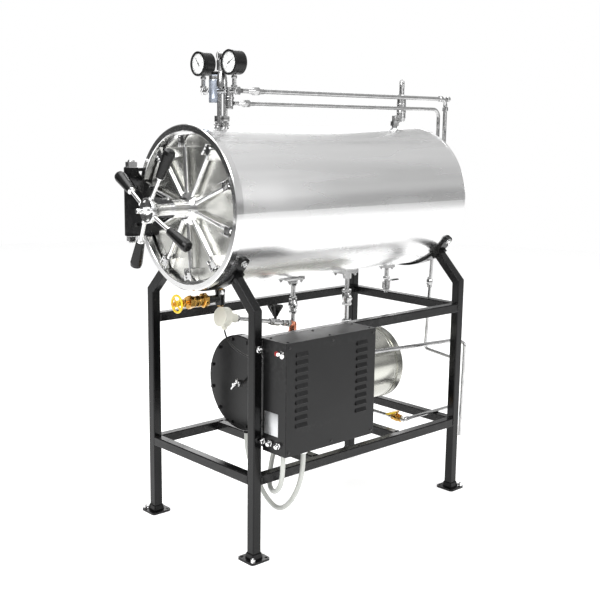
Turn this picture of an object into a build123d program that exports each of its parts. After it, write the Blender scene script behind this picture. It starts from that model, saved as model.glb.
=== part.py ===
from build123d import *
import os
from math import acos, atan2, cos, pi, radians, sin, sqrt, tan

os.makedirs("parts", exist_ok=True)

# Sizes are in mm. Fits and clearances first.
slip = 0.05            # radial clearance of a turning or sliding round part
seat_gap = 0.3         # gap between curved seats of fixed pieces
face_gap = 0.3         # gap between faces that slide past each other
sink = 0.5             # how far a welded-on piece of one node runs into the next

# Stand.
leg_pitch_x = 590      # between leg centres, across
leg_pitch_y = 1070     # between leg centres, along the vessel
tube = 35              # square tube of legs and rails
tube_corner = 4
foot_side = 84
foot_thick = 8
foot_corner = 12
foot_hole_r = 5.5
foot_hole_pitch = 60
socket_side = 48
socket_corner = 8
socket_tall = 16
socket_taper = 12      # degrees
bend_run = 98          # how far in, and up, a leg's bent end goes
leg_gap = 11.8         # from the saddle's outside to the middle of a leg's end
upper_rail_z = 766.5
lower_rail_z = 287.5
saddle_t = 10
saddle_wide = 45
saddle_half = 58       # degrees each side of the bottom
saddle_end_r = 20      # rounded ends of the strip
pad_wide = 46

# Vessel.
vessel_z = 1199        # height of the vessel axis
ring_front_y = -604
ring_stand = 5         # ring's band above the cladding
ring_wall = 18         # from the ring's bore to the outside of the cladding
ring_edge = 3
ring_bore_edge = 2
ring_band = 28         # length of the ring in front of the cladding
clad_t = 2
clad_back_y = 582
clad_edge = 6
chamber_r = 220        # bore of the chamber
chamber_t = 6
chamber_len = 972      # straight part behind the flange
head_crown_r = 362
head_knuckle_r = 70
flange_t = 16
gasket_land = 8        # flange face inside the gasket
gasket_wide = 16
flange_land = 18       # flange face between the gasket and the ring's bore
gasket_deep = 6
gasket_proud = 2
pocket_roof = 4        # ring left over a pocket, under the cladding's line
pocket_play = 0.5

# Door.
door_play = 10         # between the door's edge and the ring's bore
door_t = 14
door_recess = 30       # door front behind the ring front
door_edge = 1.5
door_chamfer = 5
bar_count = 10
bar_phase = -4         # degrees from the top to the first bar
bar_r = 8.5
bar_in_r = 33          # inner end with the bars drawn in
bar_inset = 2          # outer end inside the door's edge, with the bars drawn in
bar_travel = 22
bar_tip = 3
bar_stand_off = 16     # bar axis in front of the door
guide_inset = 30       # inner end of a guide inside the door's edge
guide_len = 24
guide_wide = 30
guide_wall = 3.5
drum_r = 58
drum_wall = 7.5
drum_cone = 14         # depth of the drum's conical front
drum_front_r = 38
drum_boss_r = 30
drum_boss = 4
sleeve_r = 20
sleeve_len = 124
spindle_r = 10
spindle_depth = 14     # spindle end behind the drum boss face
spindle_room = 2

# Hand wheel.
wheel_disc_r = 43
wheel_disc_t = 14
wheel_boss_r = 17
wheel_boss_len = 14
spindle_out = 39       # spindle in front of the disc
spindle_tip_r = 8
wheel_collar_r = 15
wheel_collar_len = 6
handle_count = 4
handle_phase = 28      # degrees from the top
rod_r = 6.5
rod_start_r = 36
grip_start_r = 125
grip_end_r = 228
handle_rake = 19       # how much nearer the door the grips end
grip_small_r = 15
grip_big_r = 21
grip_round = 8

# Door arm and hinge.
pin_inset = 9          # pin axis inside the ring's outside
pin_y = -637
pin_r = 12
barrel_r = 27
arm_top = 116          # barrel ends from the vessel axis
arm_low = -103
arm_mid_x = -160
arm_mid_top = 31
arm_mid_low_x = -150
block_x = -110         # where the arm meets the bearing block
block_r = 31
lug_t = 12
lug_out_inset = 30     # where the lugs meet the ring face, inside its outside
lug_in_inset = 47
nut_across = 36
nut_t = 20
pin_stick = 6

# Boiler.
boiler_z = 514
boiler_r = 147
boiler_t = 3
boiler_back_y = 350
boiler_rim = 30
cover_z = 540
cover_r = 180
cover_front_y = -360
cover_deep = 34
cover_edge = 3
cradle_front_y = -230
cradle_rear_y = 210
cradle_wide = 190
cradle_t = 10
cradle_drop = 92       # below the boiler axis the cradle stops to the sides

# Control box.
box_out_x = 430
box_front_y = -515
box_back_y = -90
box_low_z = 397
box_top_z = 784
box_t = 2.5
box_corner = 3
louvre_count = 10
louvre_pitch = 27
louvre_len = 52
louvre_tall = 14
louvre_out = 5
louvre_low = 95
louvre_in = 70

# Pipework.
top_y = -457
top_rise = 118         # manifold axis above the cladding
manifold_r = 10
manifold_in_x = -86
gauge_x = 86
gauge_rise = 94        # dial centres above the manifold axis
gauge_r = 42
gauge_rim = 2
gauge_t = 48
gauge_stem_r = 7
riser_x = 5
riser_r = 8
riser_b_x = 38
riser_b_r = 7
relief_x = -19
relief_r = 21
relief_low = 39
relief_high = 53
body_b_x = 62
body_b_r = 13
body_b_low = 51
body_b_high = 12
safety_x = 19
safety_r = 14
safety_neck_r = 9
safety_rise = 40       # top of the safety valve above the dial centres
safety_bell_r = 18
long_x = 115
long_r = 8
long_drop_y = 632
long_in_rise = 201     # where it enters the back, above the vessel axis
long_bend = 26
low_x = 66
low_rise = 77          # above the cladding
low_r = 7
low_drop_y = 650
low_in_rise = 141
low_bend = 34
rear_valve_y = 453
rear_valve_r = 18
rear_neck_r = 11
rear_neck_tall = 48
rear_arm_rise = 36     # arm that carries the valve, above the cladding
rear_arm = 38
rear_arm_r = 13
rear_body_low = 26
rear_body_tall = 98
rear_stem_tall = 60
rear_stem_r = 10
pad_t = 14
plate_half_x = 34      # flat plates under the vessel
plate_back_y = 30
plate_front_y = 52
bleed_plate = 24
pipe_a_y = -97
pipe_b_y = 196
pipe_c_y = 430
feed_r = 9
ball_r = 17
ball_high = 87         # top of a feed pipe's valve below the vessel
ball_len = 54
union_tall = 24
feed_boss_tall = 53
bleed_len = 119
bleed_ball_high = 73
bleed_ball_len = 28
bleed_lever = 70
bleed_lever_t = 4
union_across = 30
drain_drop = 49        # below the vessel
drain_y = -451
drain_r = 11
drain_pipe_r = 13
drain_body_r = 19
drain_body_y = -515
drain_body_len = 80
drain_stem_r = 6
drain_wheel_r = 33
drain_wheel_y = -640
drain_wheel_t = 8
drain_spokes = 3
switch_y = -433
switch_drop = 120      # below the vessel
switch_r = 36
switch_t = 26
switch_neck_r = 17
switch_neck = 54       # from the middle of the switch to its neck end
switch_tap_drop = 187  # where its line joins the front feed pipe, below the vessel
switch_line_r = 8
star_at = 190          # valve on the line, from the middle of the switch
star_r = 14
star_half = 17
star_stem_r = 4
star_tall = 52
star_knob_r = 17
star_knob_t = 12
switch_gland_r = 6

blow_y = 334           # outlet at the bottom of the boiler
blow_r = 7
blow_socket_r = 11
blow_in_x = 146
blow_out_x = 188
blow_x = 206
blow_end_y = 621
blow_bend = 14
blow_body_r = 13
blow_nut = 28          # across flats
blow_lever = 62
inlet_y = 60           # water inlet on the side of the boiler
inlet_turn = 60        # degrees from the top
inlet_reach = 60
inlet_end_x = 196
inlet_end_y = 640
inlet_end_z = 597
inlet_bend = 20
inlet_r = 8
rear_x = 90            # pipe from the vessel's back, down and behind the leg
rear_in_drop = 214     # where it enters the back, below the vessel axis
rear_out = 34
rear_low_x = 67
rear_low_z = 545
rear_under_x = 240
rear_under_z = 527
rear_hook_x = 279
rear_hook_z = 606
rear_end_x = 271
rear_end_z = 204
rear_r = 7
rear_bend = 16

# Cords.
switch_cable_r = 3
conduit_r = 8.5
gland_r = 12
gland_len = 12

gasket_in_r = chamber_r + gasket_land
gasket_out_r = gasket_in_r + gasket_wide
ring_bore_r = gasket_out_r + flange_land
clad_r = ring_bore_r + ring_wall
ring_r = clad_r + ring_stand
pocket_top_r = clad_r - pocket_roof
door_r = ring_bore_r - door_play
bar_out_r = door_r - bar_inset
guide_in_r = door_r - guide_inset
pin_x = pin_inset - ring_r
lug_out_x = lug_out_inset - ring_r
lug_in_x = lug_in_inset - ring_r
leg_x = leg_pitch_x / 2
leg_y = leg_pitch_y / 2
half_tube = tube / 2
door_front_y = ring_front_y + door_recess
door_back_y = door_front_y + door_t
flange_y = door_back_y + gasket_proud
groove_y = flange_y + gasket_deep
ring_back_y = flange_y + flange_t
shoulder_y = ring_front_y + ring_band
chamber_end_y = ring_back_y + chamber_len
clad_in_r = clad_r - clad_t
saddle_in_r = clad_r + seat_gap
saddle_r = saddle_in_r + saddle_t
bend_z = vessel_z - sqrt((saddle_r + leg_gap) ** 2 - (leg_x - bend_run) ** 2) - bend_run
vessel_top_z = vessel_z + clad_r
vessel_low_z = vessel_z - clad_r
boiler_top_z = boiler_z + boiler_r
top_z = vessel_top_z + top_rise
gauge_z = top_z + gauge_rise
safety_top_z = gauge_z + safety_rise
low_z = vessel_top_z + low_rise
long_in_z = vessel_z + long_in_rise
low_in_z = vessel_z + low_in_rise
drain_z = vessel_low_z - drain_drop
switch_z = vessel_low_z - switch_drop
switch_tap_z = vessel_low_z - switch_tap_drop
bar_y = door_front_y - bar_stand_off
drum_front_y = bar_y - bar_r - drum_wall
sleeve_back_y = drum_front_y - drum_boss
sleeve_front_y = sleeve_back_y - sleeve_len
disc_back_y = sleeve_front_y - wheel_boss_len
disc_front_y = disc_back_y - wheel_disc_t
arm_back_y = pin_y + barrel_r
arm_front_y = pin_y - barrel_r
box_in_x = leg_x + half_tube
switch_line = (Vector(0, pipe_a_y, switch_tap_z) - Vector(0, switch_y, switch_z)).normalized()
bar_angles = [bar_phase + 360 / bar_count * k for k in range(bar_count)]
handle_angles = [handle_phase + 360 / handle_count * k for k in range(handle_count)]


def post(start, end, radius, mode=Mode.ADD):
    """Round bar between two points."""
    run = Vector(*end) - Vector(*start)
    with BuildSketch(Plane(origin=start, z_dir=run)) as section:
        Circle(radius)
    extrude(section.sketch, amount=run.length, mode=mode)


def hex_post(start, end, across):
    """Hexagon bar between two points."""
    run = Vector(*end) - Vector(*start)
    with BuildSketch(Plane(origin=start, z_dir=run)) as section:
        RegularPolygon(across / 2, 6, major_radius=False)
    extrude(section.sketch, amount=run.length)


def turned(profile, origin, along):
    """Solid turned about a line through origin; profile holds (radius, height) pairs."""
    line = Vector(*along).normalized()
    side = line.cross(Vector(0, 0, 1) if abs(line.Z) < 0.9 else Vector(1, 0, 0)).normalized()
    face = Plane(origin=origin, x_dir=side, z_dir=side.cross(line))
    with BuildSketch(face) as section:
        Polygon(*profile, align=None)
    revolve(section.sketch, axis=Axis(origin, line))


def block(x0, x1, y0, y1, z0, z1, mode=Mode.ADD):
    """Block between six planes."""
    with BuildSketch(Plane(origin=((x0 + x1) / 2, (y0 + y1) / 2, z0))) as section:
        Rectangle(x1 - x0, y1 - y0)
    extrude(section.sketch, amount=z1 - z0, mode=mode)


def bend_radii(points):
    """Arc radius at each inner point, from the shorter run beside it and the turn."""
    radii = []
    for a, b, c in zip(points, points[1:], points[2:]):
        before = Vector(*b) - Vector(*a)
        after = Vector(*c) - Vector(*b)
        half = radians(before.get_angle(after)) / 2
        radii.append(0.45 * min(before.length, after.length) / tan(half))
    return radii


def run_of_pipe(points, bends, radius):
    """Round pipe along straight runs joined by tangent arcs."""
    with BuildLine() as path:
        FilletPolyline(*points, radius=bends)
    start = Vector(*points[0])
    with BuildSketch(Plane(origin=start, z_dir=Vector(*points[1]) - start)) as section:
        Circle(radius)
    sweep(section.sketch, path=path.line)


def square_tube(start, end):
    """Rail of square tube between two points."""
    run = Vector(*end) - Vector(*start)
    with BuildSketch(Plane(origin=start, x_dir=Vector(0, 0, 1).cross(run), z_dir=run)) as section:
        RectangleRounded(tube, tube, tube_corner)
    extrude(section.sketch, amount=run.length)


def radial(angle, r, y):
    """Point at a radius from the vessel axis, the angle counted from the top."""
    return (sin(radians(angle)) * r, y, vessel_z + cos(radians(angle)) * r)


# Cord points, from one gland to the other.
cable_points = [(0, switch_y, switch_z - switch_r - 4), (10, switch_y - 2, 732), (46, switch_y - 7, 706),
                (104, switch_y - 14, 690), (172, switch_y - 22, 683), (238, switch_y - 30, 681),
                (box_in_x - gland_len, switch_y - 36, 684)]
long_points = [(400, -405, box_low_z - gland_len), (400, -405, 330), (372, -402, 245), (318, -397, 170),
               (255, -390, 132), (190, -383, 150), (135, -372, 183), (75, -358, 228), (20, -343, 292),
               (20, -343, 352)]
short_points = [(380, -480, box_low_z - gland_len), (380, -480, 325), (364, -477, 268), (322, -468, 232),
                (270, -448, 243), (232, -405, 303), (194.6, -343, 376.7), (148.6, -343, 415.3)]


def gland(points, radius, deep):
    """Gland in line with the cord's first run, reaching back into its housing."""
    first = Vector(*points[0])
    back = (first - Vector(*points[1])).normalized()
    post(tuple(first), tuple(first + back * deep), radius)


# Stand.
def add_leg(side, y):
    """Foot plate, socket and bent leg; side is -1 or 1."""
    x = side * leg_x
    with BuildSketch(Plane.XY) as plate:
        with Locations((x, y)):
            RectangleRounded(foot_side, foot_side, foot_corner)
            with GridLocations(foot_hole_pitch, foot_hole_pitch, 2, 2):
                Circle(foot_hole_r, mode=Mode.SUBTRACT)
    extrude(plate.sketch, amount=foot_thick)
    with BuildSketch(Plane.XY.offset(foot_thick)) as socket:
        with Locations((x, y)):
            RectangleRounded(socket_side, socket_side, socket_corner)
    extrude(socket.sketch, amount=socket_tall, taper=socket_taper)
    with BuildLine() as path:
        Polyline((x, y, foot_thick), (x, y, bend_z), (x - side * bend_run, y, bend_z + bend_run))
    with BuildSketch(Plane.XY.offset(foot_thick)) as section:
        with Locations((x, y)):
            RectangleRounded(tube, tube, tube_corner)
    sweep(section.sketch, path=path.line, transition=Transition.RIGHT)


def add_saddle(y):
    """Curved strip under the vessel with rounded ends and a pad for each leg."""
    with BuildSketch(Plane.XZ.offset(-y)) as shape:
        with Locations((0, vessel_z)):
            Circle(saddle_r)
        reach = 2 * saddle_r
        a = radians(saddle_half)
        with Locations((0, vessel_z)):
            Polygon((0, 0), (-reach * sin(a), -reach * cos(a)), (reach * sin(a), -reach * cos(a)),
                    align=None, mode=Mode.INTERSECT)
        end_x = leg_x - bend_run
        end_z = bend_z + bend_run
        end_r = sqrt(end_x ** 2 + (vessel_z - end_z) ** 2)
        deep = sqrt(2) * (vessel_z - end_z - end_x) / 2 + end_r - saddle_in_r
        for side in (-1, 1):
            with Locations((side * (end_x - deep / sqrt(8)), end_z + deep / sqrt(8))):
                Rectangle(deep, pad_wide, rotation=-side * 45)
        with Locations((0, vessel_z)):
            Circle(saddle_in_r, mode=Mode.SUBTRACT)
    strip = extrude(shape.sketch, amount=saddle_wide / 2, both=True)
    end_low_z = vessel_z - saddle_in_r * cos(a) - saddle_t
    corners = [e for e in strip.edges().filter_by(GeomType.LINE)
               if e.center().Z > end_low_z and abs(e.length - saddle_t) < seat_gap]
    fillet(corners, saddle_end_r)


with BuildPart() as leg_front_left:
    add_leg(-1, -leg_y)
with BuildPart() as leg_front_right:
    add_leg(1, -leg_y)
with BuildPart() as leg_rear_left:
    add_leg(-1, leg_y)
with BuildPart() as leg_rear_right:
    add_leg(1, leg_y)
with BuildPart() as saddle_front:
    add_saddle(-leg_y)
with BuildPart() as saddle_rear:
    add_saddle(leg_y)

rail_end_y = leg_y - half_tube
rail_end_x = leg_x - half_tube
with BuildPart() as rail_upper_left:
    square_tube((-leg_x, -rail_end_y, upper_rail_z), (-leg_x, rail_end_y, upper_rail_z))
with BuildPart() as rail_upper_right:
    square_tube((leg_x, -rail_end_y, upper_rail_z), (leg_x, rail_end_y, upper_rail_z))
with BuildPart() as rail_upper_rear:
    square_tube((-rail_end_x, leg_y, upper_rail_z), (rail_end_x, leg_y, upper_rail_z))
with BuildPart() as rail_lower_left:
    square_tube((-leg_x, -rail_end_y, lower_rail_z), (-leg_x, rail_end_y, lower_rail_z))
with BuildPart() as rail_lower_right:
    square_tube((leg_x, -rail_end_y, lower_rail_z), (leg_x, rail_end_y, lower_rail_z))
with BuildPart() as rail_lower_front:
    square_tube((-rail_end_x, -leg_y, lower_rail_z), (rail_end_x, -leg_y, lower_rail_z))
with BuildPart() as rail_lower_rear:
    square_tube((-rail_end_x, leg_y, lower_rail_z), (rail_end_x, leg_y, lower_rail_z))

# Vessel.
vessel_axis = Axis((0, 0, vessel_z), (0, 1, 0))

# Front ring: polished band, locking pockets in its bore and the flange with the gasket groove.
with BuildPart() as front_ring:
    with BuildSketch(Plane.XY.offset(vessel_z)):
        Polygon((ring_bore_r + ring_bore_edge, ring_front_y), (ring_r - ring_edge, ring_front_y),
                (ring_r, ring_front_y + ring_edge), (ring_r, shoulder_y),
                (clad_in_r - seat_gap, shoulder_y), (clad_in_r - seat_gap, ring_back_y),
                (chamber_r, ring_back_y), (chamber_r, flange_y), (gasket_in_r, flange_y),
                (gasket_in_r, groove_y), (gasket_out_r, groove_y), (gasket_out_r, flange_y),
                (ring_bore_r, flange_y), (ring_bore_r, ring_front_y + ring_bore_edge), align=None)
    revolve(axis=vessel_axis)
    for angle in bar_angles:
        post(radial(angle, door_r, bar_y), radial(angle, pocket_top_r, bar_y), bar_r + pocket_play,
             mode=Mode.SUBTRACT)

# Chamber: welded tube with a dished rear head of two arcs.
chamber_out_r = chamber_r + chamber_t
knuckle_x = chamber_out_r - head_knuckle_r
crown_back = sqrt((head_crown_r - head_knuckle_r) ** 2 - knuckle_x ** 2)
head_turn = atan2(crown_back, knuckle_x) * 180 / pi
with BuildPart() as chamber:
    with BuildSketch(Plane.XY.offset(vessel_z)):
        with BuildLine():
            for inset in (0, chamber_t):
                Line((chamber_out_r - inset, ring_back_y), (chamber_out_r - inset, chamber_end_y))
                CenterArc((knuckle_x, chamber_end_y), head_knuckle_r - inset, 0, head_turn)
                CenterArc((0, chamber_end_y - crown_back), head_crown_r - inset, head_turn, 90 - head_turn)
            Line((chamber_r, ring_back_y), (chamber_out_r, ring_back_y))
            head_top_y = chamber_end_y - crown_back + head_crown_r
            Line((0, head_top_y), (0, head_top_y - chamber_t))
        make_face()
    revolve(axis=vessel_axis)

# Cladding: thin shell over the insulation, closed at the back.
with BuildPart() as cladding:
    with BuildSketch(Plane.XY.offset(vessel_z)):
        Polygon((clad_in_r, shoulder_y), (clad_r, shoulder_y), (clad_r, clad_back_y - clad_edge),
                (clad_r - clad_edge, clad_back_y), (0, clad_back_y), (0, clad_back_y - clad_t),
                (clad_in_r - clad_edge, clad_back_y - clad_t), (clad_in_r, clad_back_y - clad_t - clad_edge),
                align=None)
    revolve(axis=vessel_axis)

with BuildPart() as door_gasket:
    with BuildSketch(Plane.XY.offset(vessel_z)):
        Polygon((gasket_in_r + seat_gap, flange_y), (gasket_in_r + seat_gap + gasket_proud, door_back_y),
                (gasket_out_r - seat_gap - gasket_proud, door_back_y), (gasket_out_r - seat_gap, flange_y),
                (gasket_out_r - seat_gap, groove_y), (gasket_in_r + seat_gap, groove_y), align=None)
    revolve(axis=vessel_axis)

# Door with its radial locking bars.
with BuildPart() as door_plate:
    with BuildSketch(Plane.XY.offset(vessel_z)):
        Polygon((0, door_front_y), (door_r - door_edge, door_front_y), (door_r, door_front_y + door_edge),
                (door_r, door_back_y - door_chamfer), (door_r - door_chamfer, door_back_y),
                (0, door_back_y), align=None)
    revolve(axis=vessel_axis)

guide_front_y = bar_y - bar_r - guide_wall
with BuildPart() as bar_guides:
    for angle in bar_angles:
        a = radians(angle)
        with BuildSketch(Plane(origin=radial(angle, guide_in_r, (guide_front_y + door_front_y) / 2),
                               x_dir=(cos(a), 0, -sin(a)), z_dir=(sin(a), 0, cos(a)))) as foot:
            Rectangle(guide_wide, door_front_y - guide_front_y)
        extrude(foot.sketch, amount=guide_len)
        post(radial(angle, guide_in_r - 1, bar_y), radial(angle, guide_in_r + guide_len + 1, bar_y),
             bar_r + slip, mode=Mode.SUBTRACT)

with BuildPart() as bar_drum:
    turned([(0, drum_front_y), (drum_front_r, drum_front_y), (drum_r, drum_front_y + drum_cone),
            (drum_r, door_front_y), (0, door_front_y)], (0, 0, vessel_z), (0, 1, 0))
    post((0, sleeve_back_y, vessel_z), (0, drum_front_y, vessel_z), drum_boss_r)
    for angle in bar_angles:
        post(radial(angle, bar_in_r - 1, bar_y), radial(angle, drum_r + 1, bar_y), bar_r + slip,
             mode=Mode.SUBTRACT)
    post((0, sleeve_back_y - 1, vessel_z), (0, sleeve_back_y + spindle_depth + spindle_room, vessel_z),
         spindle_r + slip, mode=Mode.SUBTRACT)


def add_bar(number):
    """Locking bar, drawn in, with a tapered end that finds its pocket."""
    a = radians(bar_angles[number])
    turned([(0, bar_in_r), (bar_r, bar_in_r), (bar_r, bar_out_r - bar_tip), (bar_r - bar_tip / 2, bar_out_r),
            (0, bar_out_r)], (0, bar_y, vessel_z), (sin(a), 0, cos(a)))


with BuildPart() as locking_bar_01:
    add_bar(0)
with BuildPart() as locking_bar_02:
    add_bar(1)
with BuildPart() as locking_bar_03:
    add_bar(2)
with BuildPart() as locking_bar_04:
    add_bar(3)
with BuildPart() as locking_bar_05:
    add_bar(4)
with BuildPart() as locking_bar_06:
    add_bar(5)
with BuildPart() as locking_bar_07:
    add_bar(6)
with BuildPart() as locking_bar_08:
    add_bar(7)
with BuildPart() as locking_bar_09:
    add_bar(8)
with BuildPart() as locking_bar_10:
    add_bar(9)

# Bearing of the spindle: sleeve and block in one, between the drum and the hand wheel.
with BuildPart() as hub_sleeve:
    post((0, sleeve_front_y, vessel_z), (0, sleeve_back_y, vessel_z), sleeve_r)
    block(block_x, 0, arm_front_y, arm_back_y, vessel_z - block_r, vessel_z + block_r)
    post((0, arm_front_y, vessel_z), (0, arm_back_y, vessel_z), block_r)
    post((0, sleeve_front_y - 1, vessel_z), (0, sleeve_back_y + 1, vessel_z), spindle_r + slip,
         mode=Mode.SUBTRACT)

# Hand wheel: disc, boss, spindle and four raked rods.
rod_y = (disc_front_y + disc_back_y) / 2
rake = handle_rake / (grip_end_r - rod_start_r)
with BuildPart() as hand_wheel:
    nose_y = disc_front_y - spindle_out
    collar_y = disc_front_y - wheel_collar_len
    boss_y = sleeve_front_y - face_gap
    tip_y = sleeve_back_y + spindle_depth
    turned([(0, nose_y), (spindle_tip_r - 1, nose_y), (spindle_tip_r, nose_y + 1), (spindle_tip_r, collar_y),
            (wheel_collar_r, collar_y), (wheel_collar_r, disc_front_y), (wheel_disc_r - 3, disc_front_y),
            (wheel_disc_r, disc_front_y + 3), (wheel_disc_r, disc_back_y), (wheel_boss_r, disc_back_y),
            (wheel_boss_r, boss_y), (spindle_r, boss_y), (spindle_r, tip_y), (0, tip_y)],
           (0, 0, vessel_z), (0, 1, 0))
    for angle in handle_angles:
        post(radial(angle, rod_start_r, rod_y),
             radial(angle, grip_start_r, rod_y + rake * (grip_start_r - rod_start_r)), rod_r)

with BuildPart() as wheel_grips:
    for angle in handle_angles:
        inner = Vector(*radial(angle, grip_start_r, rod_y + rake * (grip_start_r - rod_start_r)))
        outer = Vector(*radial(angle, grip_end_r, rod_y + handle_rake))
        grip = (outer - inner).length
        turned([(0, 0), (grip_small_r - 2, 0), (grip_small_r, 2), (grip_big_r, grip - 2 * grip_round),
                (grip_big_r - grip_round / 4, grip - grip_round / 2), (grip_big_r - grip_round, grip),
                (0, grip)],
               tuple(inner), tuple(outer - inner))

# Arm: barrel round the hinge pin and a plate that narrows to the bearing block.
with BuildPart() as hinge_arm:
    with BuildSketch(Plane.XZ.offset(-arm_back_y)) as arm_side:
        with Locations((0, vessel_z)):
            Polygon((pin_x, arm_low), (arm_mid_low_x, arm_low), (block_x, -block_r), (block_x, block_r),
                    (arm_mid_x, arm_mid_top), (pin_x, arm_top), align=None)
    extrude(arm_side.sketch, amount=2 * barrel_r)
    post((pin_x, pin_y, vessel_z + arm_low), (pin_x, pin_y, vessel_z + arm_top), barrel_r)
    post((pin_x, pin_y, vessel_z + arm_low - 1), (pin_x, pin_y, vessel_z + arm_top + 1), pin_r + slip,
         mode=Mode.SUBTRACT)


def touch(point, way):
    """Point where a line from outside touches the lug's round end."""
    from_pin = Vector(*point) - Vector(pin_x, pin_y)
    turn = atan2(from_pin.Y, from_pin.X) + way * acos(barrel_r / from_pin.length)
    return (pin_x + barrel_r * cos(turn), pin_y + barrel_r * sin(turn))


def add_lug(z):
    """Flat lug from the ring's face out to the hinge pin."""
    outer = (lug_out_x, ring_front_y)
    inner = (lug_in_x, ring_front_y)
    with BuildSketch(Plane.XY.offset(z)) as plan:
        with Locations((pin_x, pin_y)):
            Circle(barrel_r)
        Polygon((pin_x, pin_y), touch(inner, -1), inner, outer, touch(outer, 1), align=None)
        with Locations((pin_x, pin_y)):
            Circle(pin_r + slip, mode=Mode.SUBTRACT)
    extrude(plan.sketch, amount=lug_t)


upper_lug_z = vessel_z + arm_top + face_gap
lower_lug_z = vessel_z + arm_low - face_gap - lug_t
with BuildPart() as hinge_lug_upper:
    add_lug(upper_lug_z)
with BuildPart() as hinge_lug_lower:
    add_lug(lower_lug_z)
with BuildPart() as hinge_pin:
    post((pin_x, pin_y, lower_lug_z - nut_t - pin_stick),
         (pin_x, pin_y, upper_lug_z + lug_t + nut_t + pin_stick), pin_r)
    hex_post((pin_x, pin_y, upper_lug_z + lug_t), (pin_x, pin_y, upper_lug_z + lug_t + nut_t), nut_across)
    hex_post((pin_x, pin_y, lower_lug_z - nut_t), (pin_x, pin_y, lower_lug_z), nut_across)

# Boiler under the vessel.
shell_front_y = cover_front_y + cover_deep
with BuildPart() as boiler_shell:
    turned([(0, shell_front_y), (boiler_r, shell_front_y), (boiler_r, boiler_back_y),
            (boiler_r + boiler_t, boiler_back_y), (boiler_r + boiler_t, boiler_back_y + boiler_rim),
            (0, boiler_back_y + boiler_rim), (0, boiler_back_y + boiler_rim - boiler_t),
            (boiler_r - boiler_t, boiler_back_y + boiler_rim - boiler_t),
            (boiler_r - boiler_t, shell_front_y + boiler_t), (0, shell_front_y + boiler_t)],
           (0, 0, boiler_z), (0, 1, 0))
with BuildPart() as boiler_cover:
    turned([(0, cover_front_y), (cover_r - cover_edge, cover_front_y), (cover_r, cover_front_y + cover_edge),
            (cover_r, shell_front_y), (0, shell_front_y)], (0, 0, cover_z), (0, 1, 0))
    gland(long_points[::-1], gland_r, gland_len + 2 * sink)
    gland(short_points[::-1], gland_r, gland_len + 6)


def add_cradle(y):
    """Cross tube between the lower rails with a curved plate under the boiler."""
    square_tube((-rail_end_x, y, lower_rail_z), (rail_end_x, y, lower_rail_z))
    with BuildSketch(Plane.XZ.offset(-y)) as plate:
        foot_z = lower_rail_z + half_tube - sink
        with Locations((0, foot_z)):
            Rectangle(cradle_wide, boiler_z - cradle_drop - foot_z, align=(Align.CENTER, Align.MIN))
        with Locations((0, boiler_z)):
            Circle(boiler_r + seat_gap, mode=Mode.SUBTRACT)
    extrude(plate.sketch, amount=cradle_t / 2, both=True)


with BuildPart() as boiler_cradle_front:
    add_cradle(cradle_front_y)
with BuildPart() as boiler_cradle_rear:
    add_cradle(cradle_rear_y)

# Control box on the right-hand rail.
with BuildPart() as control_box:
    block(box_in_x, box_out_x, box_front_y, box_back_y, box_low_z, box_top_z)
    fillet(control_box.edges().filter_by(Axis.Z), box_corner)
    block(box_in_x + box_t, box_out_x - box_t, box_front_y + box_t, box_back_y - box_t,
          box_low_z + box_t, box_top_z - box_t, mode=Mode.SUBTRACT)
    for column_y in (box_front_y + louvre_in, box_back_y - louvre_in):
        for k in range(louvre_count):
            z = box_low_z + louvre_low + louvre_pitch * k
            with BuildSketch(Plane.XZ.offset(-(column_y - louvre_len / 2))) as hood:
                Polygon((box_out_x - sink, z), (box_out_x + louvre_out, z), (box_out_x, z + louvre_tall),
                        (box_out_x - sink, z + louvre_tall), align=None)
            extrude(hood.sketch, amount=-louvre_len)
    gland(long_points, gland_r, gland_len + sink)
    gland(short_points, gland_r, gland_len + sink)
    gland(cable_points[::-1], switch_gland_r, gland_len + sink)

# Pipework on the vessel.


def clear_of_vessel():
    """Trim a pad or riser to the curve of the cladding."""
    post((0, shoulder_y, vessel_z), (0, clad_back_y, vessel_z), clad_r + seat_gap, mode=Mode.SUBTRACT)


with BuildPart() as manifold:
    post((riser_x, top_y, vessel_z + clad_r - pad_t), (riser_x, top_y, vessel_z + clad_r + 12), 15)
    post((riser_x, top_y, vessel_z + clad_r), (riser_x, top_y, top_z), riser_r)
    hex_post((riser_x, top_y, vessel_z + clad_r + 14), (riser_x, top_y, vessel_z + clad_r + 34), union_across)
    post((riser_b_x, top_y, vessel_z + clad_r - pad_t), (riser_b_x, top_y, vessel_z + clad_r + 12), 12)
    post((riser_b_x, top_y, vessel_z + clad_r), (riser_b_x, top_y, top_z), riser_b_r)
    post((relief_x, top_y, top_z - relief_low), (relief_x, top_y, top_z + relief_high), relief_r)
    post((body_b_x, top_y, top_z - body_b_low), (body_b_x, top_y, top_z + body_b_high), body_b_r)
    post((manifold_in_x, top_y, top_z), (long_x, top_y, top_z), manifold_r)
    post((safety_x, top_y, top_z), (safety_x, top_y, gauge_z - 20), safety_neck_r)
    turned([(0, gauge_z - 24), (safety_bell_r, gauge_z - 24), (safety_bell_r, gauge_z + 10),
            (safety_r, gauge_z + 12),
            (safety_r, safety_top_z - 8), (safety_r - 4, safety_top_z - 2), (0, safety_top_z)],
           (safety_x, top_y, 0), (0, 0, 1))
    for side in (-1, 1):
        post((side * gauge_x, top_y, top_z - manifold_r), (side * gauge_x, top_y, gauge_z - gauge_r + 6),
             gauge_stem_r)
    for side in (-1, 1):
        post((side * gauge_x, top_y - gauge_t, gauge_z), (side * gauge_x, top_y + gauge_t, gauge_z),
             gauge_r - gauge_rim + seat_gap, mode=Mode.SUBTRACT)
    clear_of_vessel()


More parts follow.
